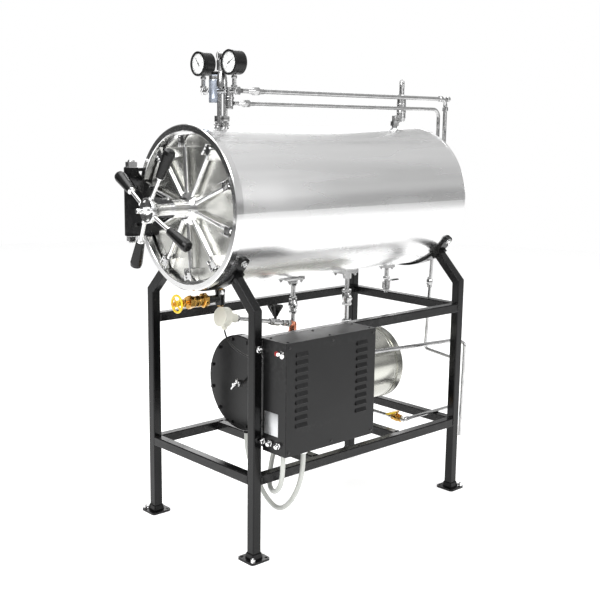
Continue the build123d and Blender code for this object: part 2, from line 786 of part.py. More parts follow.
def add_gauge(x):
    """Round pressure gauge facing forward, with a rim round the dial."""
    front = top_y - gauge_t / 2
    turned([(0, front + 3), (gauge_r - 5, front + 3), (gauge_r - 4, front), (gauge_r, front),
            (gauge_r, front + 8), (gauge_r - gauge_rim, front + 8 + gauge_rim),
            (gauge_r - gauge_rim, front + gauge_t), (0, front + gauge_t)], (x, 0, gauge_z), (0, 1, 0))


with BuildPart() as gauge_left:
    add_gauge(-gauge_x)
with BuildPart() as gauge_right:
    add_gauge(gauge_x)
with BuildPart() as pipe_upper:
    run_of_pipe([(long_x, top_y + manifold_r + seat_gap, top_z), (long_x, long_drop_y, top_z),
                 (long_x, long_drop_y, long_in_z), (long_x, clad_back_y, long_in_z)], long_bend, long_r)
with BuildPart() as pipe_lower:
    run_of_pipe([(low_x, top_y + body_b_r + seat_gap, low_z), (low_x, low_drop_y, low_z),
                 (low_x, low_drop_y, low_in_z), (low_x, clad_back_y, low_in_z)], low_bend, low_r)

with BuildPart() as safety_valve_rear:
    arm_z = vessel_top_z + rear_arm_rise
    body_low_z = vessel_top_z + rear_body_low
    body_high_z = body_low_z + rear_body_tall
    stem_high_z = body_high_z + rear_stem_tall
    post((0, rear_valve_y, vessel_top_z - pad_t), (0, rear_valve_y, vessel_top_z + rear_neck_tall), rear_neck_r)
    hex_post((0, rear_valve_y, vessel_top_z + 8), (0, rear_valve_y, vessel_top_z + 26), union_across)
    post((0, rear_valve_y, arm_z), (0, rear_valve_y + rear_arm, arm_z), rear_arm_r)
    turned([(0, body_low_z), (rear_valve_r - 4, body_low_z), (rear_valve_r, body_low_z + pad_t),
            (rear_valve_r, body_high_z - 6), (rear_valve_r - 6, body_high_z), (rear_stem_r, body_high_z),
            (rear_stem_r, stem_high_z - 10), (rear_stem_r / 2, stem_high_z), (0, stem_high_z)],
           (0, rear_valve_y + rear_arm, 0), (0, 0, 1))
    clear_of_vessel()

# Pipework between the vessel and the boiler.


def clear_of_boiler():
    """Trim a pipe to the curve of the boiler."""
    post((0, shell_front_y, boiler_z), (0, boiler_back_y, boiler_z), boiler_r + seat_gap, mode=Mode.SUBTRACT)


def add_feed(y):
    """Plate under the vessel and the pipe down to the boiler, with its fittings."""
    plate_low_z = vessel_low_z - pad_t
    ball_top_z = vessel_low_z - ball_high
    block(-plate_half_x, plate_half_x, y - plate_front_y, y + plate_back_y, plate_low_z, vessel_low_z + pad_t)
    post((0, y, boiler_top_z - pad_t), (0, y, vessel_low_z), feed_r)
    post((0, y, boiler_top_z - pad_t), (0, y, boiler_top_z + feed_boss_tall), feed_r + 5)
    hex_post((0, y, plate_low_z - union_tall), (0, y, plate_low_z), union_across)
    post((0, y, ball_top_z), (0, y, ball_top_z - ball_len), ball_r)
    clear_of_vessel()
    clear_of_boiler()


star_foot = Vector(0, switch_y, switch_z) + switch_line * star_at
star_top_z = star_foot.Z + star_tall
with BuildPart() as feed_pipe_front:
    add_feed(pipe_a_y)
    neck_end = Vector(0, switch_y, switch_z) + switch_line * switch_neck
    post(tuple(neck_end), (0, pipe_a_y, switch_tap_z), switch_line_r)
    post(tuple(star_foot - switch_line * star_half), tuple(star_foot + switch_line * star_half), star_r)
    post(tuple(star_foot), (0, star_foot.Y, star_top_z), star_stem_r)
    turned([(0, star_top_z - star_knob_t), (star_knob_r - 3, star_top_z - star_knob_t),
            (star_knob_r, star_top_z - star_knob_t + 3), (star_knob_r, star_top_z - 3),
            (star_knob_r - 3, star_top_z), (0, star_top_z)], (0, star_foot.Y, 0), (0, 0, 1))
with BuildPart() as feed_pipe_rear:
    add_feed(pipe_b_y)
with BuildPart() as bleed_valve:
    bleed_ball_z = vessel_low_z - bleed_ball_high
    block(-bleed_plate, bleed_plate, pipe_c_y - bleed_plate, pipe_c_y + bleed_plate, vessel_low_z - pad_t,
          vessel_low_z + pad_t)
    post((0, pipe_c_y, vessel_low_z - bleed_len), (0, pipe_c_y, vessel_low_z), feed_r)
    post((0, pipe_c_y, bleed_ball_z - bleed_ball_len), (0, pipe_c_y, bleed_ball_z), ball_r)
    block(-6, 6, pipe_c_y, pipe_c_y + bleed_lever, bleed_ball_z, bleed_ball_z + bleed_lever_t)
    clear_of_vessel()

# Pipes at the boiler: the way out at the bottom with its valve, and the water inlet at the side.
blow_z = lower_rail_z + half_tube + blow_r + seat_gap
inlet_way = Vector(sin(radians(inlet_turn)), 0, cos(radians(inlet_turn)))
inlet_axis = Vector(0, inlet_y, boiler_z)
with BuildPart() as boiler_pipes:
    run_of_pipe([(0, blow_y, boiler_z - boiler_r + pad_t), (0, blow_y, blow_z), (blow_in_x, blow_y, blow_z)],
                blow_bend, blow_r)
    run_of_pipe([(blow_out_x, blow_y, blow_z), (blow_x, blow_y, blow_z), (blow_x, blow_end_y, blow_z)],
                blow_bend, blow_r)
    run_of_pipe([tuple(inlet_axis + inlet_way * (boiler_r - pad_t)),
                 tuple(inlet_axis + inlet_way * (boiler_r + inlet_reach)),
                 (inlet_end_x, inlet_end_y, inlet_end_z)], inlet_bend, inlet_r)
    post((0, blow_y, boiler_z - boiler_r + pad_t), (0, blow_y, boiler_z - boiler_r - pad_t), blow_socket_r)
    post(tuple(inlet_axis + inlet_way * (boiler_r - pad_t)), tuple(inlet_axis + inlet_way * (boiler_r + pad_t)),
         inlet_r + 4)
    clear_of_boiler()
with BuildPart() as blowdown_valve:
    hex_post((blow_in_x, blow_y, blow_z), (blow_in_x + 12, blow_y, blow_z), blow_nut)
    post((blow_in_x, blow_y, blow_z), (blow_out_x, blow_y, blow_z), blow_body_r)
    hex_post((blow_out_x - 12, blow_y, blow_z), (blow_out_x, blow_y, blow_z), blow_nut)
    blow_mid_x = (blow_in_x + blow_out_x) / 2
    lever_z = blow_z + blow_body_r + 10
    post((blow_mid_x, blow_y, blow_z), (blow_mid_x, blow_y, lever_z), 5)
    block(blow_mid_x - 6, blow_mid_x + 6, blow_y - blow_lever, blow_y + 7, lever_z, lever_z + 4)

# Pipe from the vessel's back, down behind the rear leg and over into an open end beside it.
rear_y = clad_back_y + rear_out
with BuildPart() as rear_pipe:
    run_of_pipe([(rear_x, clad_back_y, vessel_z - rear_in_drop), (rear_x, rear_y, vessel_z - rear_in_drop),
                 (rear_low_x, rear_y, rear_low_z), (rear_under_x, rear_y, rear_under_z),
                 (rear_under_x, rear_y, rear_hook_z), (rear_hook_x, rear_y, rear_hook_z),
                 (rear_end_x, rear_y, rear_end_z)], rear_bend, rear_r)

with BuildPart() as drain_valve_body:
    post((0, drain_y, drain_z - 28), (0, drain_y, vessel_low_z + pad_t), drain_r)
    post((0, drain_y, drain_z - 22), (0, drain_y, drain_z + 22), drain_r + 5)
    post((0, drain_body_y, drain_z), (0, drain_y, drain_z), drain_pipe_r)
    post((0, drain_body_y - drain_body_len, drain_z), (0, drain_body_y, drain_z), drain_body_r)
    hex_post((0, drain_body_y - 14, drain_z), (0, drain_body_y, drain_z), 46)
    hex_post((0, drain_body_y - drain_body_len, drain_z), (0, drain_body_y - drain_body_len + 16, drain_z), 42)
    post((0, drain_wheel_y - 16, drain_z), (0, drain_body_y, drain_z), drain_stem_r)
    clear_of_vessel()
with BuildPart() as drain_valve_wheel:
    with BuildSketch(Plane.XZ.offset(-drain_wheel_y)) as rim:
        with Locations((0, drain_z)):
            Circle(drain_wheel_r)
            Circle(drain_wheel_r - 7, mode=Mode.SUBTRACT)
            Circle(12)
            with PolarLocations(0, drain_spokes):
                Rectangle(drain_wheel_r - 3, 7, align=(Align.MIN, Align.CENTER))
            Circle(drain_stem_r + slip, mode=Mode.SUBTRACT)
    extrude(rim.sketch, amount=drain_wheel_t / 2, both=True)

with BuildPart() as pressure_switch:
    turned([(0, -switch_t / 2), (switch_r - 2, -switch_t / 2), (switch_r, 2 - switch_t / 2),
            (switch_r, switch_t / 2), (switch_neck_r, switch_t / 2), (switch_neck_r, switch_neck), (0, switch_neck)],
           (0, switch_y, switch_z), switch_line)
    gland(cable_points, switch_gland_r, gland_len)

# Cords: switch cable and two conduits from the control box to the boiler.


def add_cord(points, radius):
    """Tube along straight runs joined by large arcs."""
    radii = bend_radii(points)
    print("bend radii", [round(r) for r in radii])
    run_of_pipe(points, radii, radius)


with BuildPart() as switch_cable:
    add_cord(cable_points, switch_cable_r)
with BuildPart() as conduit_long:
    add_cord(long_points, conduit_r)
with BuildPart() as conduit_short:
    add_cord(short_points, conduit_r)

nodes = {
    "leg_front_left": leg_front_left, "leg_front_right": leg_front_right,
    "leg_rear_left": leg_rear_left, "leg_rear_right": leg_rear_right,
    "saddle_front": saddle_front, "saddle_rear": saddle_rear,
    "rail_upper_left": rail_upper_left, "rail_upper_right": rail_upper_right,
    "rail_upper_rear": rail_upper_rear, "rail_lower_left": rail_lower_left,
    "rail_lower_right": rail_lower_right, "rail_lower_front": rail_lower_front,
    "rail_lower_rear": rail_lower_rear, "front_ring": front_ring, "chamber": chamber,
    "cladding": cladding, "door_gasket": door_gasket, "door_plate": door_plate,
    "bar_guides": bar_guides, "bar_drum": bar_drum, "locking_bar_01": locking_bar_01,
    "locking_bar_02": locking_bar_02, "locking_bar_03": locking_bar_03,
    "locking_bar_04": locking_bar_04, "locking_bar_05": locking_bar_05,
    "locking_bar_06": locking_bar_06, "locking_bar_07": locking_bar_07,
    "locking_bar_08": locking_bar_08, "locking_bar_09": locking_bar_09,
    "locking_bar_10": locking_bar_10, "hub_sleeve": hub_sleeve, "hand_wheel": hand_wheel,
    "wheel_grips": wheel_grips, "hinge_arm": hinge_arm, "hinge_lug_upper": hinge_lug_upper,
    "hinge_lug_lower": hinge_lug_lower, "hinge_pin": hinge_pin, "boiler_shell": boiler_shell,
    "boiler_cover": boiler_cover, "boiler_cradle_front": boiler_cradle_front,
    "boiler_cradle_rear": boiler_cradle_rear, "control_box": control_box, "manifold": manifold,
    "gauge_left": gauge_left, "gauge_right": gauge_right, "pipe_upper": pipe_upper,
    "pipe_lower": pipe_lower, "safety_valve_rear": safety_valve_rear,
    "feed_pipe_front": feed_pipe_front, "feed_pipe_rear": feed_pipe_rear,
    "bleed_valve": bleed_valve, "boiler_pipes": boiler_pipes, "blowdown_valve": blowdown_valve,
    "rear_pipe": rear_pipe, "drain_valve_body": drain_valve_body,
    "drain_valve_wheel": drain_valve_wheel, "pressure_switch": pressure_switch,
    "switch_cable": switch_cable, "conduit_long": conduit_long, "conduit_short": conduit_short,
}
for name, piece in nodes.items():
    piece.part.label = name
    export_step(piece.part, "parts/" + name + ".step")
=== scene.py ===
import bpy
import bmesh
import random
from math import cos, pi, radians, sin, sqrt
from mathutils import Matrix, Vector


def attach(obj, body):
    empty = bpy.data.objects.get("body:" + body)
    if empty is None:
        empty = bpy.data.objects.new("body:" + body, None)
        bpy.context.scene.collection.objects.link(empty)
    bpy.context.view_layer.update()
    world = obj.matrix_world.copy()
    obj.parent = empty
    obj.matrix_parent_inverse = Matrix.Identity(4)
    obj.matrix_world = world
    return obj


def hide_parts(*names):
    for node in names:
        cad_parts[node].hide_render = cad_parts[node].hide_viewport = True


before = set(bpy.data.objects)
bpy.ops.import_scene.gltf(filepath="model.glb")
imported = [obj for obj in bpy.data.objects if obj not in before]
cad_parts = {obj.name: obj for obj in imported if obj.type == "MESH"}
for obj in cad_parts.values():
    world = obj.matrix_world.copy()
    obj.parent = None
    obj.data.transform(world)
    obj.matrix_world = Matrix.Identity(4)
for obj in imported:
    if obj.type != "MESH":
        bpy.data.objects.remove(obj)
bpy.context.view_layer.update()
random.seed(7)

VESSEL_Z = 1.199
CLAD_R = 0.280
LOW_Z = VESSEL_Z - CLAD_R
TOP_Z = VESSEL_Z + CLAD_R
TOP_Y = -0.457
PIPE_Z = TOP_Z + 0.118
DIAL_Z = PIPE_Z + 0.094
DIAL_X = 0.086
DOOR_Y = -0.574
BAR_Y = -0.590
BAR_ANGLES = [-4 + 36 * k for k in range(10)]
HANDLE_ANGLES = [28 + 90 * k for k in range(4)]
COLLECTION = bpy.context.scene.collection


# Camera
def set_camera():
    yaw, pitch, roll = radians(47.25), radians(10.04), radians(0.76)
    forward = Vector((-sin(yaw) * cos(pitch), cos(yaw) * cos(pitch), -sin(pitch)))
    right = Vector((cos(yaw), sin(yaw), 0))
    up = right.cross(forward)
    r = right * cos(roll) + up * sin(roll)
    u = up * cos(roll) - right * sin(roll)
    data = bpy.data.cameras.new("camera")
    data.sensor_width = 36
    data.lens = 59.55
    data.clip_end = 60
    cam = bpy.data.objects.new("camera", data)
    cam.matrix_world = Matrix((
        (r.x, u.x, -forward.x, 2.770),
        (r.y, u.y, -forward.y, -2.621),
        (r.z, u.z, -forward.z, 1.488),
        (0, 0, 0, 1)))
    COLLECTION.objects.link(cam)
    bpy.context.scene.camera = cam
    bpy.context.scene.view_settings.view_transform = "Standard"


# Light and floor
def area_light(name, where, aim, size, power):
    data = bpy.data.lights.new(name, "AREA")
    data.energy = power
    data.size = size
    light = bpy.data.objects.new(name, data)
    light.location = where
    light.rotation_euler = (Vector(aim) - Vector(where)).to_track_quat("-Z", "Y").to_euler()
    COLLECTION.objects.link(light)


def set_world():
    """White for the camera; for light and reflections a soft ramp by height and a darker side."""
    world = bpy.data.worlds.new("studio")
    bpy.context.scene.world = world
    world.use_nodes = True
    nodes, links = world.node_tree.nodes, world.node_tree.links
    nodes.clear()
    out = nodes.new("ShaderNodeOutputWorld")
    shown = nodes.new("ShaderNodeBackground")
    shown.inputs["Color"].default_value = (1, 1, 1, 1)
    lit = nodes.new("ShaderNodeBackground")
    lit.inputs["Strength"].default_value = 0.62
    split = nodes.new("ShaderNodeSeparateXYZ")
    links.new(nodes.new("ShaderNodeTexCoord").outputs["Generated"], split.inputs[0])

    def ramp(source, stops):
        node = nodes.new("ShaderNodeValToRGB")
        while len(node.color_ramp.elements) < len(stops):
            node.color_ramp.elements.new(0.5)
        for element, (at, level) in zip(node.color_ramp.elements, stops):
            element.position = at
            element.color = (level, level, level, 1)
        links.new(source, node.inputs[0])
        return node.outputs[0]

    def weigh(source, factor, add):
        node = nodes.new("ShaderNodeMath")
        node.operation = "MULTIPLY_ADD"
        node.inputs[1].default_value = factor
        links.new(source, node.inputs[0])
        if isinstance(add, (int, float)):
            node.inputs[2].default_value = add
        else:
            links.new(add, node.inputs[2])
        return node.outputs[0]

    height = ramp(weigh(split.outputs["Z"], 0.5, 0.5),
                  ((0.0, 0.80), (0.38, 0.85), (0.47, 0.55), (0.53, 0.42), (0.60, 0.95), (0.72, 0.80), (0.86, 1.15)))
    side = weigh(split.outputs["X"], -0.35, weigh(split.outputs["Y"], -0.36, 0.5))
    flank = ramp(side, ((0.0, 1.0), (0.70, 1.0), (0.86, 0.30), (0.93, 0.85), (1.0, 0.12)))
    both = nodes.new("ShaderNodeMix")
    both.data_type = "RGBA"
    both.blend_type = "MULTIPLY"
    both.inputs["Factor"].default_value = 1.0
    links.new(height, both.inputs["A"])
    links.new(flank, both.inputs["B"])
    links.new(both.outputs["Result"], lit.inputs["Color"])
    mix = nodes.new("ShaderNodeMixShader")
    links.new(nodes.new("ShaderNodeLightPath").outputs["Is Camera Ray"], mix.inputs[0])
    links.new(lit.outputs[0], mix.inputs[1])
    links.new(shown.outputs[0], mix.inputs[2])
    links.new(mix.outputs[0], out.inputs[0])


def set_floor():
    bm = bmesh.new()
    bmesh.ops.create_circle(bm, cap_ends=True, radius=9.0, segments=96)
    mesh = bpy.data.meshes.new("floor")
    bm.to_mesh(mesh)
    bm.free()
    floor = bpy.data.objects.new("floor", mesh)
    COLLECTION.objects.link(floor)
    pale = bpy.data.materials.new("floor_pale")
    pale.use_nodes = True
    shader = pale.node_tree.nodes["Principled BSDF"]
    shader.inputs["Base Color"].default_value = (0.9, 0.9, 0.9, 1)
    shader.inputs["Roughness"].default_value = 0.7
    shader.inputs["Specular IOR Level"].default_value = 0.1
    shader.inputs["Emission Color"].default_value = (1, 1, 1, 1)
    shader.inputs["Emission Strength"].default_value = 0.42
    mesh.materials.append(pale)


def set_lights():
    area_light("key", (0.9, -3.9, 3.6), (0, -0.2, 0.9), 2.4, 120)
    area_light("side", (4.4, 0.6, 2.9), (0, 0.1, 0.9), 2.4, 85)
    area_light("top", (-0.6, -0.4, 4.6), (0, 0.1, 1.0), 3.0, 120)
    area_light("back", (-3.4, 2.8, 2.8), (0, 0, 1.0), 2.4, 45)


# Materials
def material(name, color, rough, metal=0.0, spec=0.5, vary=0.06, stretch=None, streak=0.0, bump=0.0,
             bump_scale=400.0, bump_deep=0.0004, coat=0.0, wear=0.0, wear_color=(0.45, 0.44, 0.42), smudge=0.05,
             smudge_scale=9.0, spin=None):
    """Shader with colour variation, smudged roughness, fine bump, streaks and worn edges."""
    mat = bpy.data.materials.new(name)
    mat.use_nodes = True
    nodes, links = mat.node_tree.nodes, mat.node_tree.links
    shader = nodes["Principled BSDF"]
    shader.inputs["Metallic"].default_value = metal
    shader.inputs["Specular IOR Level"].default_value = spec
    shader.inputs["Coat Weight"].default_value = coat
    shader.inputs["Coat Roughness"].default_value = 0.10
    where = nodes.new("ShaderNodeTexCoord").outputs["Object"]

    def noise(scale, detail=3.0, along=None):
        source = where
        if along:
            mapping = nodes.new("ShaderNodeMapping")
            mapping.inputs["Scale"].default_value = along
            links.new(where, mapping.inputs["Vector"])
            source = mapping.outputs[0]
        tex = nodes.new("ShaderNodeTexNoise")
        tex.inputs["Scale"].default_value = scale
        tex.inputs["Detail"].default_value = detail
        links.new(source, tex.inputs["Vector"])
        return tex.outputs["Fac"]

    def spread(value, low, high, from_low=0.3, from_high=0.7):
        node = nodes.new("ShaderNodeMapRange")
        node.inputs["From Min"].default_value = from_low
        node.inputs["From Max"].default_value = from_high
        node.inputs["To Min"].default_value = low
        node.inputs["To Max"].default_value = high
        links.new(value, node.inputs["Value"])
        return node.outputs[0]

    def blend(factor, a, b):
        node = nodes.new("ShaderNodeMix")
        node.data_type = "RGBA"
        links.new(factor, node.inputs["Factor"])
        for slot, value in (("A", a), ("B", b)):
            if isinstance(value, tuple):
                node.inputs[slot].default_value = (*value, 1)
            else:
                links.new(value, node.inputs[slot])
        return node.outputs["Result"]

    def times(a, b):
        node = nodes.new("ShaderNodeMath")
        node.operation = "MULTIPLY"
        links.new(a, node.inputs[0])
        links.new(b, node.inputs[1])
        return node.outputs[0]

    dark = tuple(c * (1 - vary) for c in color)
    light = tuple(min(1, c * (1 + vary)) for c in color)
    pattern = noise(1.0, 3.0, stretch) if stretch else noise(smudge_scale * 0.7)
    shade = blend(spread(pattern, 0, 1), dark, light)
    rough_value = spread(noise(smudge_scale, 4.0), max(0.02, rough - smudge), rough + smudge)
    if wear:
        edge = spread(nodes.new("ShaderNodeNewGeometry").outputs["Pointiness"], 0, 1, 0.53, 0.6)
        patch = spread(noise(60, 6.0), 0, wear, 0.45, 0.62)
        shade = blend(times(edge, patch), shade, wear_color)
    links.new(shade, shader.inputs["Base Color"])
    if streak:
        add = nodes.new("ShaderNodeMath")
        add.operation = "MULTIPLY_ADD"
        links.new(spread(noise(1.0, 2.0, stretch), -1, 1), add.inputs[0])
        add.inputs[1].default_value = streak
        links.new(rough_value, add.inputs[2])
        rough_value = add.outputs[0]
    links.new(rough_value, shader.inputs["Roughness"])
    if spin:
        tangent = nodes.new("ShaderNodeTangent")
        tangent.direction_type = "RADIAL"
        tangent.axis = "Y"
        links.new(tangent.outputs[0], shader.inputs["Tangent"])
        shader.inputs["Anisotropic"].default_value = spin
    if bump:
        node = nodes.new("ShaderNodeBump")
        node.inputs["Strength"].default_value = bump
        node.inputs["Distance"].default_value = bump_deep
        links.new(noise(1.0, 2.0, stretch) if stretch else noise(bump_scale, 2.0), node.inputs["Height"])
        links.new(node.outputs[0], shader.inputs["Normal"])
    return mat


def glass():
    mat = material("gauge_glass", (0.9, 0.95, 0.95), 0.03, smudge=0.01, vary=0.02)
    mat.node_tree.nodes["Principled BSDF"].inputs["Alpha"].default_value = 0.10
    return mat


MATS = {
    "paint": material("paint_black", (0.0035, 0.0035, 0.0038), 0.22, spec=0.28, vary=0.3, bump=0.04,
                      bump_scale=190, wear=0.35, wear_color=(0.03, 0.03, 0.03), smudge=0.06),
    "box": material("paint_box_black", (0.0042, 0.0042, 0.0045), 0.34, spec=0.30, vary=0.25, bump=0.08,
                    bump_scale=700, wear=0.3, wear_color=(0.04, 0.04, 0.04), smudge=0.05, smudge_scale=5),
    "clad": material("steel_cladding", (0.86, 0.86, 0.86), 0.26, metal=1.0, vary=0.035, stretch=(16, 1.1, 16),
                     streak=0.05, bump=0.22, bump_deep=0.0016, smudge=0.03, smudge_scale=3),
    "band": material("steel_ring", (0.86, 0.86, 0.86), 0.17, metal=1.0, vary=0.03, bump=0.01,
                     bump_scale=900, smudge=0.04),
    "spun": material("steel_spun", (0.80, 0.80, 0.76), 0.24, metal=1.0, vary=0.05, bump=0.02,
                     bump_scale=900, smudge=0.05, smudge_scale=12, spin=0.85),
    "chrome": material("steel_bright", (0.80, 0.80, 0.80), 0.11, metal=1.0, vary=0.05, bump=0.03,
                       bump_scale=500, smudge=0.04, smudge_scale=40),
    "steel": material("steel_pipe", (0.50, 0.50, 0.50), 0.24, metal=1.0, vary=0.12, bump=0.08,
                      bump_scale=420, smudge=0.07, smudge_scale=50),
    "silver": material("steel_silver_blue", (0.52, 0.57, 0.66), 0.30, metal=0.85, vary=0.06, bump=0.06,
                       bump_scale=500, smudge=0.06, smudge_scale=40),
    # Dark steel for screws, bolts and the drain elbow; the same dark discs at the bar guides are painted shade.
    "dark": material("steel_dark_and_shade", (0.045, 0.045, 0.045), 0.30, metal=0.9, vary=0.2, bump=0.06,
                     bump_scale=500, smudge=0.08, smudge_scale=50),
    "boiler": material("steel_boiler", (0.60, 0.60, 0.55), 0.24, metal=1.0, vary=0.08, stretch=(14, 1.5, 14),
                       streak=0.05, bump=0.2, bump_deep=0.001, smudge=0.05, smudge_scale=6),
    "brass": material("brass_plain", (0.62, 0.36, 0.09), 0.22, metal=1.0, vary=0.15, bump=0.06,
                      bump_scale=300, smudge=0.08, smudge_scale=60),
    "copper": material("copper_plain", (0.62, 0.24, 0.15), 0.28, metal=1.0, vary=0.18, bump=0.05, smudge=0.1,
                       smudge_scale=60),
    "yellow": material("paint_yellow", (0.82, 0.56, 0.01), 0.30, vary=0.08, bump=0.05, bump_scale=300,
                       coat=0.2, wear=0.5, wear_color=(0.5, 0.35, 0.1)),
    "grip": material("plastic_black", (0.0045, 0.0045, 0.0045), 0.28, spec=0.35, vary=0.2, bump=0.05,
                     bump_scale=900, smudge=0.08, smudge_scale=30),
    "white": material("plastic_white", (0.80, 0.79, 0.70), 0.34, vary=0.04, bump=0.03, bump_scale=700),
    "rubber": material("rubber_white", (0.72, 0.71, 0.66), 0.6, vary=0.05, bump=0.08, bump_scale=900),
    "cable": material("cable_black", (0.01, 0.01, 0.01), 0.42, spec=0.3, vary=0.1, bump=0.04, bump_scale=600),
    "conduit": material("conduit_grey", (0.52, 0.53, 0.50), 0.38, vary=0.08, bump=0.15, bump_scale=300),
    "dial": material("dial_white", (0.90, 0.90, 0.89), 0.5, vary=0.02, smudge=0.02),
    # Black for the dial ticks, needles and figures; the same black slabs are painted shade in the louvre openings.
    "mark": material("ink_and_slot_shade", (0.01, 0.01, 0.01), 0.5, vary=0.1, smudge=0.02),
    "plate": material("plate_bare", (0.62, 0.63, 0.64), 0.38, metal=1.0, vary=0.05, stretch=(9, 9, 300),
                      streak=0.06, smudge=0.05),
    "lamp": material("lamp_red", (0.30, 0.02, 0.02), 0.2, vary=0.1, coat=0.5),
    "glass": glass(),
}

NODE_MATERIAL = {
    "paint": ["leg_", "saddle_", "rail_", "boiler_cradle", "boiler_cover", "hinge_arm", "hinge_lug"],
    "box": ["control_box"],
    "clad": ["cladding"],
    "band": ["front_ring"],
    "spun": ["door_plate"],
    "chrome": ["hand_wheel", "locking_bar", "hub_sleeve", "hinge_pin", "bar_guides", "bar_drum"],
    "steel": ["manifold", "pipe_", "safety_valve", "feed_pipe", "bleed_valve", "boiler_pipes", "rear_pipe"],
    "boiler": ["boiler_shell", "chamber"],
    "brass": ["drain_valve_body", "blowdown_valve"],
    "yellow": ["drain_valve_wheel"],
    "grip": ["wheel_grips", "gauge_"],
    "white": ["pressure_switch"],
    "rubber": ["door_gasket"],
    "cable": ["switch_cable"],
    "conduit": ["conduit_"],
}


def dress_cad():
    for name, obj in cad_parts.items():
        key = next(k for k, starts in NODE_MATERIAL.items() if any(name.startswith(s) for s in starts))
        obj.data.materials.clear()
        obj.data.materials.append(MATS[key])


# Mesh builders. Each adds a form to a bmesh; lengths are in metres.
def axes(at, along):
    """Matrix that puts local z along a direction, at a point."""
    z = Vector(along).normalized()
    x = z.orthogonal().normalized() if abs(z.z) < 0.99 else Vector((1, 0, 0))
    if abs(z.z) < 0.99:
        x = Vector((0, 0, 1)).cross(z).normalized()
    y = z.cross(x)
    return Matrix(((x.x, y.x, z.x, at[0]), (x.y, y.y, z.y, at[1]), (x.z, y.z, z.z, at[2]), (0, 0, 0, 1)))


def rings(bm, loops, closed=False, cap=True):
    """Skin over loops of points."""
    rows = [[bm.verts.new(p) for p in loop] for loop in loops]
    pairs = list(zip(rows, rows[1:] + rows[:1] if closed else rows[1:]))
    for a, b in pairs:
        n = len(a)
        for k in range(n):
            bm.faces.new((a[k], a[(k + 1) % n], b[(k + 1) % n], b[k]))
    if cap and not closed:
        bm.faces.new(rows[0][::-1])
        bm.faces.new(rows[-1])


def lathe(bm, profile, at, along=(0, 0, 1), n=32, lobes=0, deep=0.0):
    """Turned form from (radius, height) pairs; lobes makes its rim wavy."""
    m = axes(at, along)
    loops = []
    for r, h in profile:
        loop = []
        for k in range(n):
            a = 2 * pi * k / n
            wave = 1 + deep * cos(lobes * a) if lobes else 1
            loop.append(m @ Vector((max(r, 0.0001) * wave * cos(a), max(r, 0.0001) * wave * sin(a), h)))
        loops.append(loop)
    rings(bm, loops)


def hexagon(bm, at, along, across, thick, turn=0.0):
    """Hexagon nut or head with chamfered corners on both faces."""
    m = axes(at, along)
    r = across / sqrt(3)
    chamfer = min(0.12 * across, 0.3 * thick)
    loops = []
    for scale, h in ((0.90, 0), (1, chamfer * 0.6), (1, thick - chamfer * 0.6), (0.90, thick)):
        loops.append([m @ Vector((r * scale * cos(turn + pi * k / 3), r * scale * sin(turn + pi * k / 3), h))
                      for k in range(6)])
    rings(bm, loops)


def bolt(bm, at, along, across, washer=True, stub=0.0):
    """Washer, hexagon head and a short threaded end."""
    h = 0.0
    z = Vector(along).normalized()
    if washer:
        t = 0.12 * across
        lathe(bm, [(across * 0.62, 0), (across * 0.66, t * 0.3), (across * 0.66, t * 0.8), (across * 0.6, t)],
              at, along, 24)
        h = t
    hexagon(bm, Vector(at) + z * h, along, across, across * 0.55, random.uniform(0, pi / 3))
    if stub:
        r = across * 0.3
        steps = 5
        profile = []
        for k in range(steps):
            y = h + across * 0.55 + stub * k / steps
            profile += [(r, y), (r * 0.88, y + stub / steps / 2)]
        lathe(bm, profile + [(r * 0.7, h + across * 0.55 + stub)], at, along, 16)


def slab(bm, lo, hi, edge=0.001, matrix=None):
    """Block with rounded edges."""
    mid = (Vector(lo) + Vector(hi)) / 2
    size = Vector(hi) - Vector(lo)
    made = bmesh.ops.create_cube(bm, size=1.0)["verts"]
    bmesh.ops.scale(bm, vec=size, verts=made)
    bmesh.ops.translate(bm, vec=mid, verts=made)
    edges = {e for v in made for e in v.link_edges}
    done = bmesh.ops.bevel(bm, geom=list(edges), offset=edge, segments=2, affect="EDGES", profile=0.5)
    verts = {v for f in done["faces"] for v in f.verts}
    for v in list(verts):
        verts.update(w for e in v.link_edges for w in e.verts)
    if matrix:
        bmesh.ops.transform(bm, matrix=matrix, verts=list(verts))


def tube(bm, points, radius, n=12, closed=False):
    """Round tube along points; radius is a number or one per point."""
    points = [Vector(p) for p in points]
    count = len(points)
    side = None
    loops = []
    for k, p in enumerate(points):
        if closed:
            way = points[(k + 1) % count] - points[k - 1]
        else:
            way = points[min(k + 1, count - 1)] - points[max(k - 1, 0)]
        way.normalize()
        side = way.orthogonal().normalized() if side is None else (side - way * side.dot(way)).normalized()
        other = way.cross(side)
        r = radius[k] if isinstance(radius, list) else radius
        loops.append([p + side * r * cos(2 * pi * j / n) + other * r * sin(2 * pi * j / n) for j in range(n)])
    rings(bm, loops, closed)


def bent(points, radius, steps=6):
    """Straight runs with rounded corners as a list of points."""
    points = [Vector(p) for p in points]
    out = [points[0]]
    for a, b, c in zip(points, points[1:], points[2:]):
        u, v = (a - b).normalized(), (c - b).normalized()
        start, end = b + u * radius, b + v * radius
        for k in range(steps + 1):
            t = k / steps
            out.append(start * (1 - t) ** 2 + b * 2 * t * (1 - t) + end * t ** 2)
    out.append(points[-1])
    return out


def circle(at, along, radius, n=48, start=0.0, turn=2 * pi, close=False):
    m = axes(at, along)
    last = n + 1 if close else n
    return [m @ Vector((radius * cos(start + turn * k / n), radius * sin(start + turn * k / n), 0))
            for k in range(last)]


def weld(bm, a, b, r=0.0032):
    """Rippled bead along a line."""
    a, b = Vector(a), Vector(b)
    count = max(6, int((b - a).length / (r * 0.62)))
    points, radii = [], []
    for k in range(count + 1):
        t = k / count
        wobble = Vector([random.uniform(-1, 1) * r * 0.10 for _ in range(3)])
        points.append(a.lerp(b, t) + wobble)
        radii.append(r * (0.86 + 0.16 * (k % 2)) * (0.6 if k in (0, count) else 1))
    tube(bm, points, radii, 8)


